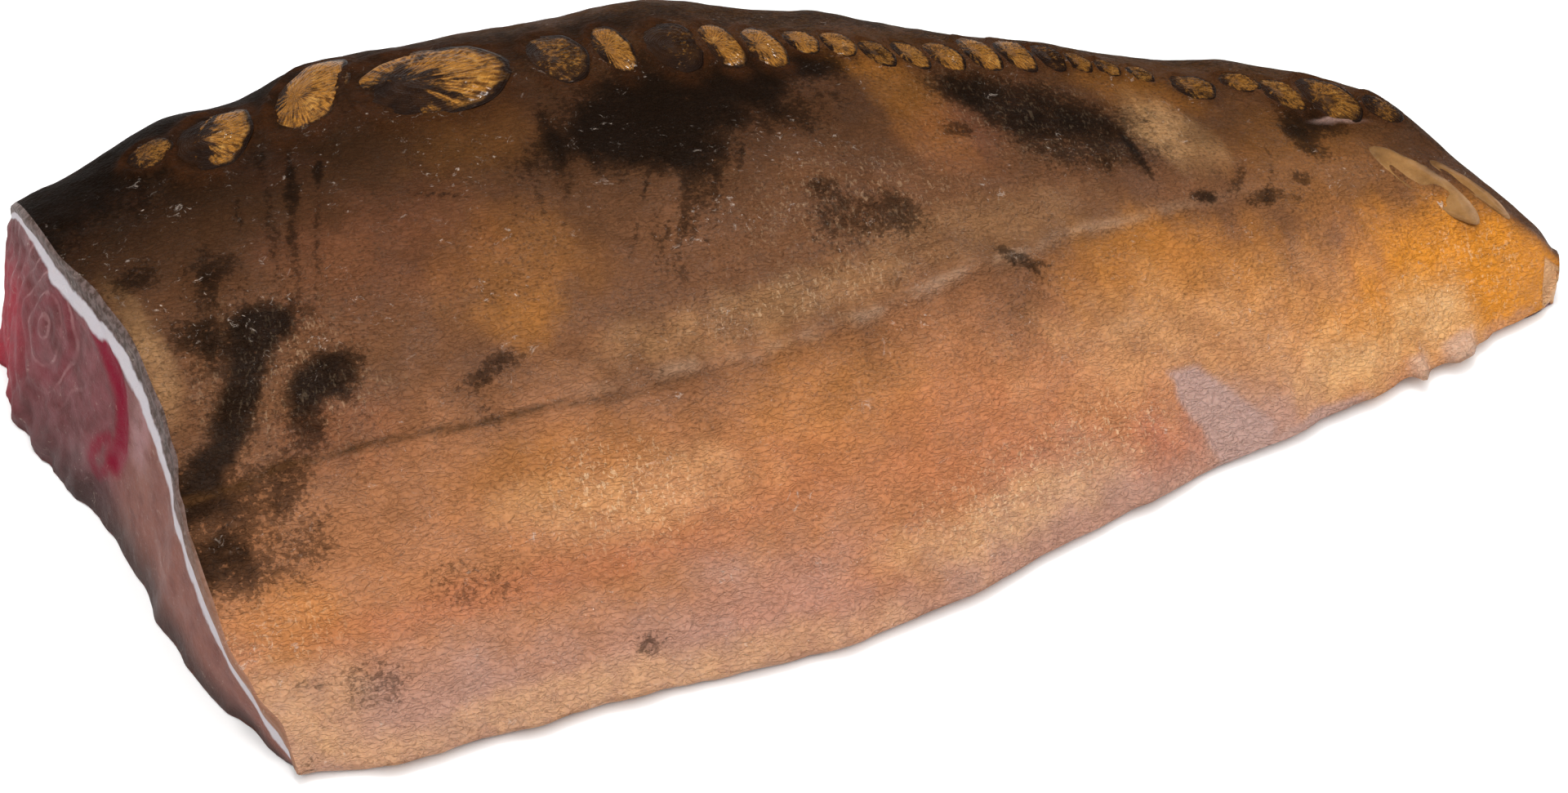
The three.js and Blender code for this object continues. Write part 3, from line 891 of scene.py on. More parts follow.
def model_plate(name, scale, material, soft, settings):
    """One plate laid on the sagging skin over its solid."""
    big = scale[2] * LENGTH > BIG_SCALE
    rings, sides = (27, 128) if big else (18, 80)
    piece = add_piece(name + "_plate", spun_plate(rings, sides), [material], name)
    mesh = piece.data
    x, y, over = read_points(mesh).T
    reach, turn = np.hypot(x, y), np.arctan2(y, x)
    tailward = x
    if not soft:
        # the hind rim is round and the fore end narrows and slides under the plate before it
        wave = 1 + 0.03 * np.sin(3 * turn + scale[0] * 90) + 0.02 * np.sin(7 * turn + 2)
        x, y = x * wave, y * wave
        fore = 1.12 if big else 1.5
        x = np.where(x < 0, x * (fore - 0.1 * y * y), x * 1.04)
        y = y * (1 + 0.06 * x)
    mm_x = LENGTH * (scale[2] / 2 * x + scale[4] * y)
    mm_y = WIDTH * scale[3] / 2 * y
    u0, t0 = scale[0], round_at(scale[0], scale[1])
    u = np.interp(run_at(u0) + mm_x, run_lengths, U_STEPS)
    t = np.clip(t0 + mm_y / girth_at(u0), 0, 0.999)
    across = across_at(u, t)
    points = body_point(u, across, t, np.ones_like(u))
    normal = normals_of(u, across)

    spoke = np.arctan2(y, x - FOCUS)
    spread = np.hypot(x - FOCUS, y)
    count = 58 if big else 36
    grain = fine_grain.at(np.stack([reach * 4, spoke * 3, reach * 0 + scale[0] * 200], -1), 1)
    spokes = np.cos(spoke * count + 1.2 * grain)
    fan = step(0.25, 0.6, spread) * step(-0.35, 0.1, x)
    rays = np.stack([spoke * 6, spread * 2.2, spoke * 0 + scale[0] * 90], -1)
    ray = fine_grain.layered(rays, 1, 2)
    if soft:
        crown = 0.5 + 0.35 * step(0.6, 0.9, reach) - 0.3 * step(0.9, 1, reach)
        lift = -0.25 + crown * over + 0.2 * fine_grain.at(points, 4) * over
        lift += 0.55 * tailward * step(0.0, 1.0, tailward) - 0.5 * step(0.2, -0.9, tailward)
    else:
        crown = 0.55 - 0.35 * reach**3
        tilt = 0.4 * tailward - 0.3
        lift = 0.05 + tilt + crown * over
        lift += over * fan * settings.ridge * spokes * step(1, 0.9, reach)
        lift += over * 0.07 * np.cos(reach * 40 + 2 * grain) * step(0.15, 0.4, reach)
        lift += over * 0.12 * fine_grain.at(points, 3)
    write_points(mesh, in_frame(points + normal * lift[:, None]))
    golden = scale[5]
    high = step(-0.2, 0.5, y) if scale[3] * scale[2] > 0.012 else np.zeros_like(y)
    bare = -0.8 if golden > 0.95 else (-0.15 if big else -0.6)
    show = np.maximum(step(bare - 0.15, bare + 0.45, x + 0.4 * ray),
                      high * step(0.35, 0.85, reach + 0.2 * ray))
    show = show * step(1.0, 0.8, reach + 0.1 * ray)
    if soft:
        write_mask(mesh, "lip", 0.6 * step(0.0, 0.7, tailward) * step(0.5, -0.3, y))
        write_mask(mesh, "crease", step(0.0, 0.5, y + 0.3 * tailward))
    write_mask(mesh, "gold", golden * show)
    write_mask(mesh, "reach", reach)
    write_mask(mesh, "spokes", spokes * fan)
    write_mask(mesh, "spoke", spoke)
    write_mask(mesh, "spread", spread)


# ---- colours and node helpers ---------------------------------------------

def linear(code):
    """A colour from its usual six-figure code, as the shader wants it."""
    values = [int(code[k:k + 2], 16) / 255 for k in (1, 3, 5)]
    return tuple(v / 12.92 if v <= 0.04045 else ((v + 0.055) / 1.055) ** 2.4 for v in values)


class Nodes:
    """Short words for laying out a node tree."""

    def __init__(self, tree):
        self.tree = tree

    def node(self, kind, inputs=None, **settings):
        made = self.tree.nodes.new(kind)
        for key, value in settings.items():
            setattr(made, key, value)
        for key, value in (inputs or {}).items():
            self.feed(made.inputs[key], value)
        return made

    def feed(self, socket, value):
        if isinstance(value, bpy.types.NodeSocket):
            self.tree.links.new(value, socket)
        elif socket.type == "RGBA":
            socket.default_value = (*value[:3], 1)
        else:
            socket.default_value = value

    def mask(self, name):
        return self.node("ShaderNodeAttribute", attribute_name=name).outputs["Fac"]

    def place(self):
        return self.node("ShaderNodeTexCoord").outputs["Object"]

    def math(self, kind, a, b=0.0, clamp=False):
        return self.node("ShaderNodeMath", {0: a, 1: b}, operation=kind, use_clamp=clamp).outputs[0]

    def noise(self, vector, size, detail=4.0, rough=0.55, warp=0.0):
        """Noise with lumps of a size in millimetres."""
        inputs = {"Vector": vector, "Scale": 1 / (size * MM), "Detail": detail,
                  "Roughness": rough, "Distortion": warp}
        return self.node("ShaderNodeTexNoise", inputs).outputs["Fac"]

    def cells(self, vector, size):
        inputs = {"Vector": vector, "Scale": 1 / (size * MM)}
        return self.node("ShaderNodeTexVoronoi", inputs).outputs["Distance"]

    def times(self, a, b):
        return self.math("MULTIPLY", a, b)

    def plus(self, a, b):
        return self.math("ADD", a, b)

    def bump(self, height, strength, distance):
        inputs = {"Height": height, "Strength": strength, "Distance": distance}
        return self.node("ShaderNodeBump", inputs).outputs[0]

    def ramp(self, value, low, high, to_low=0.0, to_high=1.0):
        inputs = {"Value": value, "From Min": low, "From Max": high,
                  "To Min": to_low, "To Max": to_high}
        made = self.node("ShaderNodeMapRange", inputs, interpolation_type="SMOOTHSTEP")
        return made.outputs["Result"]

    def blend(self, amount, a, b, kind="MIX"):
        made = self.node("ShaderNodeMix", data_type="RGBA", blend_type=kind)
        self.feed(made.inputs["Factor"], amount)
        self.feed(made.inputs["A"], a)
        self.feed(made.inputs["B"], b)
        return made.outputs["Result"]

    def group(self, tree, **inputs):
        made = self.node("ShaderNodeGroup")
        made.node_tree = tree
        for key, value in inputs.items():
            self.feed(made.inputs[key.replace("_", " ").capitalize()], value)
        return made.outputs


def new_group(name, inputs, outputs):
    """An empty node group with named sockets."""
    tree = bpy.data.node_groups.new(name, "ShaderNodeTree")
    for label, kind, default in inputs:
        socket = tree.interface.new_socket(label, in_out="INPUT", socket_type=kind)
        if default is not None:
            socket.default_value = default
    for label, kind in outputs:
        tree.interface.new_socket(label, in_out="OUTPUT", socket_type=kind)
    nodes = Nodes(tree)
    return nodes, nodes.node("NodeGroupInput").outputs, nodes.node("NodeGroupOutput").inputs


def wet_grain_group():
    """Pores and fine creases of fish skin and flesh, with the specks and crest streaks where wet
    glints are painted.
    """
    if "Wet grain" in bpy.data.node_groups:
        return bpy.data.node_groups["Wet grain"]
    nodes, given, out = new_group(
        "Wet grain",
        [("Vector", "NodeSocketVector", None), ("Pore size", "NodeSocketFloat", 1.0),
         ("Crease", "NodeSocketFloat", 0.5)],
        [("Height", "NodeSocketFloat"), ("Mottle", "NodeSocketFloat"),
         ("Glint specks", "NodeSocketFloat"), ("Gloss", "NodeSocketFloat"),
         ("Glint streaks", "NodeSocketFloat")],
    )
    vector = given["Vector"]
    size = nodes.math("DIVIDE", 1 / MM, given["Pore size"])
    pores = nodes.node("ShaderNodeTexVoronoi", {"Vector": vector, "Scale": size},
                       feature="SMOOTH_F1").outputs["Distance"]
    stretched = nodes.node("ShaderNodeMapping", {"Vector": vector, "Scale": (0.5, 1.1, 1.0)})
    crease = nodes.noise(stretched.outputs[0], 1.1, 2.0, 0.5, 0.5)
    ridge = nodes.ramp(nodes.math("ABSOLUTE", nodes.math("SUBTRACT", crease, 0.5)), 0.0, 0.09)
    wide = nodes.noise(vector, 4.0, 3.0, 0.55, 0.2)
    height = nodes.plus(nodes.times(pores, -0.9), nodes.times(wide, 0.9))
    crease_part = nodes.times(ridge, given["Crease"])
    nodes.feed(out["Height"], nodes.plus(height, crease_part))
    # streaks that place the painted glints on the wrinkle crests
    tall = nodes.node("ShaderNodeMapping", {"Vector": vector, "Scale": (1.5, 0.6, 1.0)})
    crest = nodes.noise(tall.outputs[0], 1.0, 3.0, 0.6, 0.6)
    nodes.feed(out["Glint streaks"], nodes.ramp(crest, 0.55, 0.66))
    nodes.feed(out["Mottle"], nodes.noise(vector, 6.0, 6.0, 0.62))
    # specks where whitish wet glints are painted
    nodes.feed(out["Glint specks"], nodes.ramp(nodes.noise(vector, 2.4, 5.0, 0.75, 1.2), 0.60, 0.68))
    nodes.feed(out["Gloss"], nodes.noise(vector, 9.0, 4.0, 0.6))
    return nodes.tree


def stain_group():
    """Turns a soft mask into a stain with a grainy, broken edge."""
    if "Stain edge" in bpy.data.node_groups:
        return bpy.data.node_groups["Stain edge"]
    nodes, given, out = new_group(
        "Stain edge",
        [("Vector", "NodeSocketVector", None), ("Mask", "NodeSocketFloat", 0.0),
         ("Broken", "NodeSocketFloat", 0.5)],
        [("Mask", "NodeSocketFloat")],
    )
    coarse = nodes.noise(given["Vector"], 6.0, 8.0, 0.7, 0.4)
    shift = nodes.times(nodes.math("SUBTRACT", coarse, 0.5), given["Broken"])
    kept = nodes.ramp(given["Mask"], 0.0, 0.2)
    near = nodes.plus(given["Mask"], nodes.times(shift, kept))
    dots = nodes.noise(given["Vector"], 1.05, 2.0, 0.6)
    sparse = nodes.math("SUBTRACT", nodes.plus(dots, nodes.times(near, 0.5)), 0.66)
    stipple = nodes.times(nodes.ramp(sparse, -0.03, 0.1), kept)
    wash = nodes.ramp(near, 0.1, 1.0)
    nodes.feed(out["Mask"], nodes.math("ADD", nodes.times(wash, 0.6),
                                       nodes.times(stipple, 0.42), True))
    return nodes.tree


def new_material(name):
    """A material with one plain shader, and the words to lay out its nodes."""
    material = bpy.data.materials.new(name)
    material.use_nodes = True
    material.node_tree.nodes.clear()
    nodes = Nodes(material.node_tree)
    shader = nodes.node("ShaderNodeBsdfPrincipled")
    end = nodes.node("ShaderNodeOutputMaterial")
    nodes.feed(end.inputs["Surface"], shader.outputs[0])
    return material, nodes, shader


def settle(shader, values):
    """Sets what is the same all over the surface."""
    for name, value in values.items():
        shader.inputs[name].default_value = value


def skin_material(look):
    """Wet skin: tones by height, fat and blood under it, pigment and freckles over it; the belly
    tones also carry painted light from the front.
    """
    material, n, shader = new_material("Carp skin")
    place = n.place()
    grain = n.group(wet_grain_group(), vector=place, pore_size=0.9, crease=0.32)
    height, length = n.mask("height"), n.mask("length")
    stain = stain_group()

    wander = n.times(n.math("SUBTRACT", n.noise(place, 22.0, 5.0, 0.6), 0.5), 0.22)
    level = n.plus(height, wander)
    # tones darken from the belly to the back as the skin does; the belly tones are also lightened
    # as painted light from the front
    tone = n.blend(n.ramp(level, 0.02, 0.14), look.belly_edge, look.belly)
    tone = n.blend(n.ramp(level, 0.15, 0.36), tone, look.side)
    tone = n.blend(n.ramp(level, 0.39, 0.55), tone, look.back)
    tone = n.blend(n.ramp(level, 0.62, 0.78), tone, look.ridge)
    fore = n.times(n.ramp(length, 0.46, 0.08), n.ramp(height, 0.5, 0.66))
    tone = n.blend(n.times(fore, 0.85), tone, look.nape)

    flush = n.ramp(n.noise(place, 17.0, 4.0, 0.6, 0.5), 0.45, 0.65, 0.0, 0.16)
    tone = n.blend(flush, tone, n.blend(1.0, tone, look.flush, "SCREEN"))
    glow = n.mask("glow")
    tone = n.blend(n.times(glow, n.ramp(level, 0.9, 0.3, 0.6, 1.0)), tone, look.fat_glow)
    rust = n.times(n.mask("rust"), n.ramp(grain["Mottle"], 0.3, 0.65, 0.7, 1.0))
    tone = n.blend(rust, tone, look.rust)
    # pale fat, with painted highlights where the wet skin is glossy
    pale = n.times(n.mask("pale"), n.ramp(grain["Mottle"], 0.35, 0.6, 0.6, 1.0))
    tone = n.blend(pale, tone, look.pale_fat_and_highlight)
    # painted highlight along the crest of the fold over the lateral line
    fold = n.times(n.mask("fold"), n.ramp(n.noise(place, 8.0, 4.0), 0.4, 0.62, 0.05, 0.36))
    tone = n.blend(fold, tone, look.fold)

    mottle = n.ramp(grain["Mottle"], 0.3, 0.7, 0.90, 1.07)
    grey = n.node("ShaderNodeCombineColor", {0: mottle, 1: mottle, 2: mottle}).outputs[0]
    tone = n.blend(1.0, tone, grey, "MULTIPLY")
    dots = n.ramp(n.cells(place, 1.05), 0.42, 0.2)
    patchy = n.ramp(n.noise(place, 13.0, 3.0), 0.4, 0.6, 0.25, 1.0)
    freckles = n.times(n.times(dots, patchy), n.ramp(level, 0.05, 0.45, 0.16, 0.42))
    tone = n.blend(freckles, tone, look.freckle)
    dark = n.group(stain, vector=place, mask=n.mask("pigment"), broken=1.0)["Mask"]
    tone = n.blend(n.times(dark, 0.93), tone, look.pigment)
    halo = n.times(n.mask("halo"), n.ramp(n.noise(place, 5.0, 4.0), 0.35, 0.65, 0.25, 0.85))
    tone = n.blend(halo, tone, look.scale_pocket)
    line = n.times(n.mask("line"), n.ramp(n.noise(place, 4.0), 0.35, 0.6, 0.55, 1.0))
    tone = n.blend(line, tone, look.line)
    tone = n.blend(n.mask("scraped"), tone, look.scraped)
    tone = n.blend(n.times(n.mask("stub"), 0.8), tone, look.stub)
    # painted glints on the crests of fine wrinkles, weaker over dark pigment
    painted_glint = n.times(n.mask("painted_glint"), n.ramp(dark, 0.1, 0.7, 1.0, 0.3))
    painted_glint = n.times(grain["Glint streaks"], painted_glint)
    tone = n.blend(n.times(painted_glint, 0.5), tone, look.painted_glint)
    # painted wet glints: whitish specks, fewer towards the back
    glint_specks = n.times(grain["Glint specks"], n.ramp(n.noise(place, 14.0), 0.45, 0.65, 0.0, 0.55))
    glint_specks = n.times(glint_specks, n.ramp(height, 0.6, 0.86, 1.0, 0.15))
    tone = n.blend(glint_specks, tone, look.whitish_glint)

    n.feed(shader.inputs["Base Color"], tone)
    n.feed(shader.inputs["Roughness"], n.ramp(height, 0.45, 0.7, 0.5, 0.8))
    wet = n.ramp(grain["Gloss"], 0.4, 0.6, 0.06, 0.45)
    wet = n.times(wet, n.ramp(dark, 0.0, 0.7, 1.0, 0.35))
    n.feed(shader.inputs["Coat Weight"], n.times(wet, n.ramp(height, 0.3, 0.62, 1.0, 0.15)))
    settle(shader, {"Coat Roughness": 0.1, "Specular IOR Level": 0.04,
                    "Specular Tint": (1, 0.78, 0.6, 1), "Subsurface Weight": 0.08,
                    "Subsurface Radius": (1.0, 0.4, 0.2), "Subsurface Scale": 0.002})
    n.feed(shader.inputs["Normal"], n.bump(grain["Height"], look.pore_depth, 0.0012))
    n.feed(shader.inputs["Coat Normal"], n.bump(n.noise(place, 1.3, 3.0), 1.0, 0.002))
    return material


def flesh_material(look):
    """Cut flesh: layered muscle, the fat line under the skin, and the cut edge of the skin."""
    material, n, shader = new_material("Carp flesh")
    place = n.place()
    grain = n.group(wet_grain_group(), vector=place, pore_size=1.6, crease=0.25)
    wander = n.times(n.math("SUBTRACT", n.noise(place, 6.0, 4.0), 0.5), 3.4)
    deep = n.plus(n.mask("deep"), wander)
    rings = n.plus(n.mask("rings"), n.times(n.noise(place, 3.0, 3.0), 0.25))
    wave = n.math("ABSOLUTE", n.math("SUBTRACT", n.math("FRACT", rings), 0.5))
    seam = n.ramp(n.noise(place, 7.0), 0.35, 0.65, 0.1, 0.8)
    seam = n.times(n.times(n.ramp(wave, 0.12, 0.02), seam), n.mask("layered"))

    tone = n.blend(n.ramp(grain["Mottle"], 0.3, 0.7), look.flesh_dark, look.flesh)
    low_muscle = n.ramp(n.mask("height"), 0.5, 0.42, 0.0, 0.8)
    low_muscle = n.times(low_muscle, n.ramp(grain["Mottle"], 0.3, 0.6, 0.6, 1.0))
    tone = n.blend(low_muscle, tone, look.flesh_tan)
    red = n.ramp(n.noise(place, 3.0, 5.0, 0.6, 0.6), 0.30, 0.5, 0.75, 1.0)
    red = n.times(n.mask("red"), red)
    tone = n.blend(red, tone, look.red_muscle)
    rosy = n.times(n.mask("rosy"), n.ramp(n.noise(place, 5.0, 4.0), 0.3, 0.6, 0.35, 0.9))
    tone = n.blend(rosy, tone, look.rosy_muscle)
    fatty = n.times(n.mask("fatty"), n.ramp(grain["Mottle"], 0.35, 0.6, 0.3, 0.9))
    tone = n.blend(fatty, tone, look.flesh_pale)
    tone = n.blend(seam, tone, look.flesh_pale)
    tone = n.blend(n.times(n.mask("shade"), 0.85), tone, look.flesh_shade)
    fat = n.times(n.ramp(deep, 3.8, 4.8), n.ramp(deep, 8.4, 7.2))
    tone = n.blend(fat, tone, look.fat_line)
    under = n.ramp(deep, 5.0, 4.1)
    dermis = n.blend(n.ramp(n.noise(place, 1.4, 4.0), 0.35, 0.65), look.dermis_dark, look.dermis)
    dermis = n.blend(n.ramp(n.mask("height"), 0.36, 0.12, 0.0, 0.8), dermis, look.dermis_tan)
    tone = n.blend(under, tone, dermis)
    # painted wet glints on the flesh
    glint_specks = n.times(grain["Glint specks"], 0.25)
    tone = n.blend(glint_specks, tone, look.whitish_glint)

    n.feed(shader.inputs["Base Color"], tone)
    n.feed(shader.inputs["Roughness"], n.ramp(grain["Gloss"], 0.3, 0.7, 0.45, 0.65))
    n.feed(shader.inputs["Coat Weight"], n.ramp(grain["Gloss"], 0.45, 0.65, 0.0, 0.18))
    settle(shader, {"Coat Roughness": 0.15, "Specular IOR Level": 0.06,
                    "Subsurface Weight": 0.15, "Subsurface Radius": (1.0, 0.3, 0.2),
                    "Subsurface Scale": 0.003})
    n.feed(shader.inputs["Normal"], n.bump(grain["Height"], 0.5, 0.0005))
    return material


def scale_material(look):
    """A bony scale: a golden fan of spokes on a dark brown plate, with painted highlights on the
    spokes and in patches.
    """
    material, n, shader = new_material("Carp scale")
    place = n.place()
    grain = n.group(wet_grain_group(), vector=place, pore_size=0.8, crease=0.3)
    reach, spokes = n.mask("reach"), n.mask("spokes")
    fibre_place = n.node("ShaderNodeCombineXYZ", {
        0: n.times(n.mask("spoke"), 9.0), 1: n.times(n.mask("spread"), 2.0),
        2: n.times(n.mask("gold"), 0.5)}).outputs[0]
    fibre = n.node("ShaderNodeTexNoise", {"Vector": fibre_place, "Scale": 2.2, "Detail": 4.0})
    fibre = fibre.outputs["Fac"]
    gold = n.blend(n.ramp(fibre, 0.36, 0.62), look.gold_dark, look.gold)
    # painted highlights on the spokes and in random patches of the fan; other patches are worn down
    # to the brown plate
    gold = n.blend(n.ramp(spokes, 0.3, 1.0, 0.0, 0.35), gold, look.gold_highlight)
    wear_and_highlight = n.noise(place, 3.2, 5.0, 0.65, 0.5)
    gold = n.blend(n.ramp(wear_and_highlight, 0.56, 0.72, 0.0, 0.6), gold, look.gold_highlight)
    gold = n.blend(n.ramp(wear_and_highlight, 0.5, 0.34, 0.0, 0.75), gold, look.scale_brown)
    shell = n.blend(n.ramp(grain["Mottle"], 0.35, 0.65), look.scale_dark, look.scale_brown)
    amount = n.group(stain_group(), vector=place, mask=n.mask("gold"), broken=0.9)["Mask"]
    tone = n.blend(amount, shell, gold)
    rim = n.ramp(reach, 0.8, 0.97)
    tone = n.blend(n.times(rim, 0.85), tone, look.scale_dark)
    lines = n.math("SINE", n.times(reach, 120.0))
    n.feed(shader.inputs["Base Color"], tone)
    n.feed(shader.inputs["Roughness"], n.ramp(grain["Gloss"], 0.3, 0.7, 0.28, 0.5))
    n.feed(shader.inputs["Metallic"], n.times(amount, 0.15))
    wet = n.times(amount, n.ramp(grain["Gloss"], 0.4, 0.6, 0.02, 0.3))
    n.feed(shader.inputs["Coat Weight"], wet)
    settle(shader, {"Coat Roughness": 0.14, "Specular IOR Level": 0.05})
    height = n.plus(grain["Height"], n.plus(n.times(lines, 0.35), n.times(fibre, 0.9)))
    n.feed(shader.inputs["Normal"], n.bump(height, 0.55, 0.0004))
    return material


def plate_material(look):
    """A soft tail plate, pale at its hind lip with a painted wet sheen there, and dark along its
    upper edge.
    """
    material, n, shader = new_material("Tail plate")
    place = n.place()
    grain = n.group(wet_grain_group(), vector=place, pore_size=1.2, crease=0.3)
    reach = n.mask("reach")
    tone = n.blend(n.ramp(grain["Mottle"], 0.3, 0.7), look.plate, look.plate_light)
    # the hind lip is paler, with a painted wet sheen on it
    rim = n.times(n.ramp(reach, 0.72, 0.92), n.ramp(n.noise(place, 5.0), 0.4, 0.6, 0.3, 1.0))
    tone = n.blend(n.times(rim, n.mask("lip")), tone, look.whitish_glint)
    edge = n.times(n.ramp(reach, 0.7, 0.95), n.ramp(n.noise(place, 9.0), 0.42, 0.6, 0.3, 0.9))
    tone = n.blend(n.times(edge, n.mask("crease")), tone, look.pigment)
    n.feed(shader.inputs["Base Color"], tone)
    n.feed(shader.inputs["Roughness"], n.ramp(grain["Gloss"], 0.3, 0.7, 0.3, 0.5))
    n.feed(shader.inputs["Coat Weight"], n.ramp(grain["Gloss"], 0.35, 0.65, 0.05, 0.3))
    settle(shader, {"Specular IOR Level": 0.06, "Coat Roughness": 0.2,
                    "Subsurface Weight": 0.15, "Subsurface Radius": (1.0, 0.5, 0.25),
                    "Subsurface Scale": 0.002})
    n.feed(shader.inputs["Normal"], n.bump(grain["Height"], 0.4, 0.0004))
    return material


# ---- table, lights and camera ---------------------------------------------

def model_stage(stage):
    """A pale table, a soft even room, area lights and the camera."""
    bm = bmesh.new()
    bmesh.ops.create_grid(bm, x_segments=2, y_segments=2, size=stage.table_size / 2)
    mesh = bpy.data.meshes.new("table_top")
    bm.to_mesh(mesh)
    bm.free()
    material, n, shader = new_material("Pale table")
    grain = n.ramp(n.noise(n.place(), 40.0, 3.0), 0.3, 0.7, 0.985, 1.0)
    n.feed(shader.inputs["Base Color"], n.blend(grain, (0.8, 0.8, 0.8), stage.table_colour))
    settle(shader, {"Roughness": 0.9, "Specular IOR Level": 0.1})
    mesh.materials.append(material)
    table = bpy.data.objects.new("table_top", mesh)
    table.location.z = -0.0002
    bpy.context.scene.collection.objects.link(table)

    world = bpy.data.worlds.new("Soft room")
    world.use_nodes = True
    settle(world.node_tree.nodes["Background"],
           {"Color": (1, 1, 1, 1), "Strength": stage.room_light})
    bpy.context.scene.world = world

    middle = (Vector(cad_low) + Vector(cad_high)) / 2
    for name, azimuth, elevation, distance, size, power in (
        ("top_light", 10, 78, 1.5, 1.5, stage.top_light),
        ("front_light", -55, 38, 1.7, 1.2, stage.front_light),
        ("side_light", 70, 35, 1.7, 1.0, stage.side_light),
        ("glint_light", 172, 46, 1.4, 0.12, stage.glint_light),
        ("high_glint_light", 200, 82, 1.4, 0.14, stage.glint_light),
        ("back_light", 200, 35, 1.8, 1.2, stage.back_light),
    ):
        data = bpy.data.lights.new(name, "AREA")
        data.size = size
        data.energy = power
        light = bpy.data.objects.new(name, data)
        towards = viewing_direction(azimuth, elevation)
        light.location = middle + towards * distance
        light.rotation_euler = towards.to_track_quat("Z", "Y").to_euler()
        bpy.context.scene.collection.objects.link(light)

    data = bpy.data.cameras.new("camera")
    data.lens = stage.lens
    data.sensor_width = 36
    data.clip_start = 0.01
    camera = bpy.data.objects.new("camera", data)
    towards = viewing_direction(stage.azimuth, stage.elevation)
    aim = Vector((middle.x + stage.aim[0], middle.y + stage.aim[1], stage.aim[2]))
    camera.location = aim + towards * stage.distance
    camera.rotation_euler = towards.to_track_quat("Z", "Y").to_euler()
    bpy.context.scene.collection.objects.link(camera)
    bpy.context.scene.camera = camera
    bpy.context.scene.view_settings.view_transform = "Standard"


def viewing_direction(azimuth, elevation):
    """From the object to a viewer; azimuth 0 is in front, at -Y, and 90 is at +X."""
    a, e = math.radians(azimuth), math.radians(elevation)
    return Vector((math.sin(a) * math.cos(e), -math.cos(a) * math.cos(e), math.sin(e)))


# ---- the add-on -----------------------------------------------------------

def colour(label, about, default):
    return bpy.props.FloatVectorProperty(name=label, description=about, default=linear(default),
                                         min=0.0, max=1.0, size=3, subtype="COLOR")


class FilletSettings(bpy.types.PropertyGroup):
    relief: bpy.props.FloatProperty(
        name="Skin relief", description="How strongly the skin's folds and pockets stand out",
        default=1.0, min=0.0, max=2.0, subtype="FACTOR")
    pore_depth: bpy.props.FloatProperty(
        name="Pore depth", description="Strength of the pores and fine creases",
        default=0.75, min=0.0, max=1.0, subtype="FACTOR")
    belly_edge: colour("Belly edge", "Pinkish skin along the belly edge", "#b58874")
    # belly colour, lightened as painted light from the front
    belly: colour("Belly", "Skin of the belly", "#b3774f")
    side: colour("Side", "Skin just above the lateral line", "#6e4930")
    back: colour("Back", "Skin of the back", "#4c301d")
    ridge: colour("Ridge", "Skin among the scales", "#472c14")
    scale_pocket: colour("Scale pocket", "Brown skin round the scales", "#3c200d")
    nape: colour("Nape", "Darkest skin, at the nape", "#170c05")
    fat_glow: colour("Fat glow", "Orange fat under thin skin", "#d2852a")
    flush: colour("Flush", "Rosy places in the skin", "#3a1c14")
    rust: colour("Rust", "Blood tint under the skin", "#b86a48")
    # pale fat colour, also used for painted highlights on the glossy places
    pale_fat_and_highlight: colour("Pale fat and highlight", "Thick pale fat under the skin", "#dba872")
    # painted highlight on the crest of the fold
    fold: colour("Fold highlight", "Pale lip of the fold over the lateral line", "#b89a80")
    freckle: colour("Freckle", "Fine brown dots", "#3c2615")
    pigment: colour("Pigment", "Black pigment", "#0c0603")
    line: colour("Lateral line", "Thin line along the side", "#4a2f18")
    scraped: colour("Scraped skin", "Underlayer where the skin is scraped", "#b39084")
    stub: colour("Tail stub", "Pale cut stub at the tail", "#dcae84")
    # painted glint colour on the wrinkle crests
    painted_glint: colour("Painted glint", "Wet crests of fine wrinkles", "#ecc9a0")
    # painted wet glint colour
    whitish_glint: colour("Painted wet glint", "Whitish wet specks", "#cdbcae")
    flesh: colour("Flesh", "Muscle", "#7d4b4e")
    flesh_dark: colour("Dark flesh", "Darker muscle", "#5c3030")
    flesh_tan: colour("Tan flesh", "Muscle of the belly side", "#85584a")
    flesh_pale: colour("Pale flesh", "Fatty seams in the muscle", "#9c7272")
    flesh_shade: colour("Shaded flesh", "Muscle near the table", "#3a302d")
    red_muscle: colour("Red muscle", "Dark red muscle", "#7a1029")
    rosy_muscle: colour("Rosy muscle", "Raw pink edge of the back muscle", "#9a2f3c")
    fat_line: colour("Fat line", "White fat under the skin", "#c6bfc4")
    dermis: colour("Dermis", "Cut edge of the skin", "#705f5b")
    dermis_tan: colour("Tan dermis", "Cut edge of the belly skin", "#a0745c")
    dermis_dark: colour("Dark dermis", "Darker fibres of the skin's edge", "#483932")


class ScaleSettings(bpy.types.PropertyGroup):
    ridge: bpy.props.FloatProperty(
        name="Spoke height", description="Height of the spokes of a scale, in millimetres",
        default=0.06, min=0.0, max=0.4)
    gold: colour("Gold", "Golden fan of a scale", "#a56e2a")
    gold_dark: colour("Dark gold", "Grooves of the fan", "#553110")
    # painted highlight of the golden fan
    gold_highlight: colour("Gold highlight", "Spokes of the fan", "#cf9a4e")
    scale_brown: colour("Brown plate", "Plate under dark skin", "#2c190c")
    scale_dark: colour("Dark plate", "Rim of a plate", "#1a0d06")
    pigment: colour("Outline", "Dark outline of a tail plate", "#3a2616")
    plate: colour("Tail plate", "Soft plate by the tail fin", "#7a5630")
    plate_light: colour("Light tail plate", "Lighter places of a tail plate", "#9a7144")
    # pale lip of a tail plate, with a painted wet sheen
    whitish_glint: colour("Pale lip and painted sheen", "Whitish edge of a tail plate", "#c4a890")


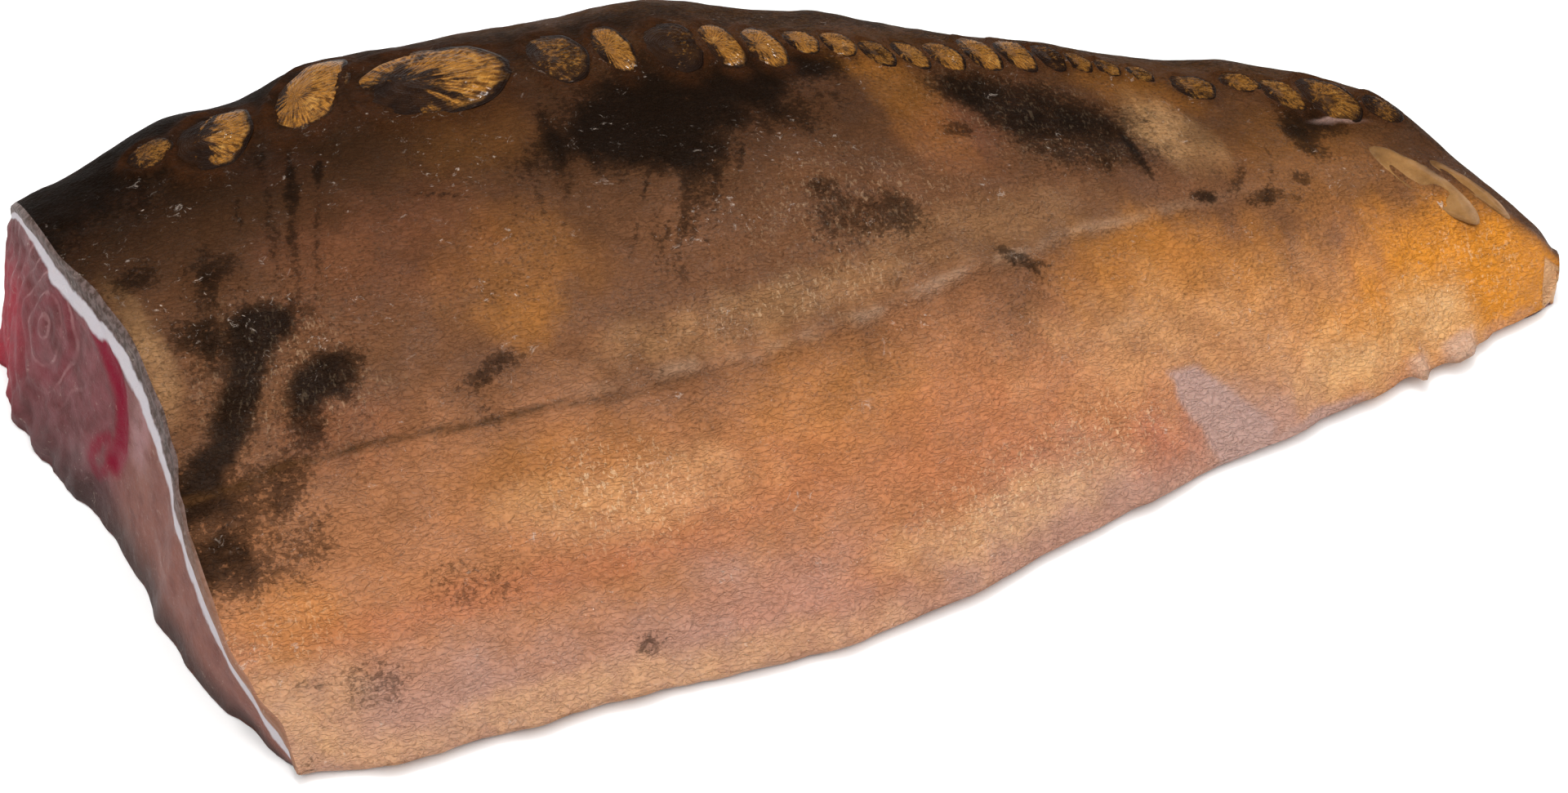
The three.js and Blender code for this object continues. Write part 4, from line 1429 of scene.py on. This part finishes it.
class StageSettings(bpy.types.PropertyGroup):
    table_size: bpy.props.FloatProperty(
        name="Table size", description="Side of the table top", default=8.0, unit="LENGTH")
    table_colour: colour("Table", "Colour of the table top", "#fbfaf9")
    room_light: bpy.props.FloatProperty(
        name="Room light", description="Strength of the even light", default=0.2)
    top_light: bpy.props.FloatProperty(
        name="Top light", description="Power of the light above", default=22, unit="POWER")
    front_light: bpy.props.FloatProperty(
        name="Front light", description="Power of the light in front", default=5.6, unit="POWER")
    side_light: bpy.props.FloatProperty(
        name="Side light", description="Power of the light at the tail", default=3.6, unit="POWER")
    glint_light: bpy.props.FloatProperty(
        name="Glint light", description="Power of the small light that makes wet glints",
        default=4.0, unit="POWER")
    back_light: bpy.props.FloatProperty(
        name="Back light", description="Power of the light behind", default=1.2, unit="POWER")
    azimuth: bpy.props.FloatProperty(
        name="Azimuth", description="Degrees round the object", default=-13.616)
    elevation: bpy.props.FloatProperty(
        name="Elevation", description="Degrees above the table", default=50.0)
    distance: bpy.props.FloatProperty(
        name="Distance", description="Camera to the point aimed at", default=0.521,
        unit="LENGTH")
    lens: bpy.props.FloatProperty(name="Lens", description="Focal length in millimetres",
                                  default=57.09)
    aim: bpy.props.FloatVectorProperty(
        name="Aim", description="Point aimed at, from the middle of the underside",
        default=(-0.009, -0.0237, 0.0101), subtype="TRANSLATION", unit="LENGTH")


class CARP_OT_fillet(bpy.types.Operator):
    """Model the fillet: skin, cut flesh and underside"""
    bl_idname = "carp.fillet"
    bl_label = "Fillet"

    def execute(self, context):
        model_fillet(context.scene.carp_fillet)
        return {"FINISHED"}


class CARP_OT_scales(bpy.types.Operator):
    """Model the bony scales and the two soft plates by the tail fin"""
    bl_idname = "carp.scales"
    bl_label = "Scales"

    def execute(self, context):
        settings = context.scene.carp_scales
        bone = scale_material(settings)
        soft = plate_material(settings)
        for index, scale in enumerate(SCALES + TAIL_PLATES):
            name = f"scale_{index + 1:02d}"
            is_soft = index >= len(SCALES)
            model_plate(name, scale, soft if is_soft else bone, is_soft, settings)
        return {"FINISHED"}


class CARP_OT_stage(bpy.types.Operator):
    """Set up the table, the lights and the camera"""
    bl_idname = "carp.stage"
    bl_label = "Stage"

    def execute(self, context):
        model_stage(context.scene.carp_stage)
        return {"FINISHED"}


class CARP_PT_panel(bpy.types.Panel):
    bl_label = "Carp fillet"
    bl_idname = "CARP_PT_panel"
    bl_space_type = "VIEW_3D"
    bl_region_type = "UI"
    bl_category = "Carp fillet"

    def draw(self, context):
        for operator, group in (("carp.fillet", "carp_fillet"), ("carp.scales", "carp_scales"),
                                ("carp.stage", "carp_stage")):
            settings = getattr(context.scene, group)
            box = self.layout.box()
            for name in settings.__annotations__:
                box.prop(settings, name)
            box.operator(operator)


CLASSES = (FilletSettings, ScaleSettings, StageSettings, CARP_OT_fillet, CARP_OT_scales,
           CARP_OT_stage, CARP_PT_panel)


def register():
    for cls in CLASSES:
        bpy.utils.register_class(cls)
    bpy.types.Scene.carp_fillet = bpy.props.PointerProperty(type=FilletSettings)
    bpy.types.Scene.carp_scales = bpy.props.PointerProperty(type=ScaleSettings)
    bpy.types.Scene.carp_stage = bpy.props.PointerProperty(type=StageSettings)


def unregister():
    del bpy.types.Scene.carp_stage
    del bpy.types.Scene.carp_scales
    del bpy.types.Scene.carp_fillet
    for cls in reversed(CLASSES):
        bpy.utils.unregister_class(cls)


def main():
    register()
    bpy.ops.carp.fillet()
    bpy.ops.carp.scales()
    bpy.ops.carp.stage()


if __name__ == "__main__":
    main()
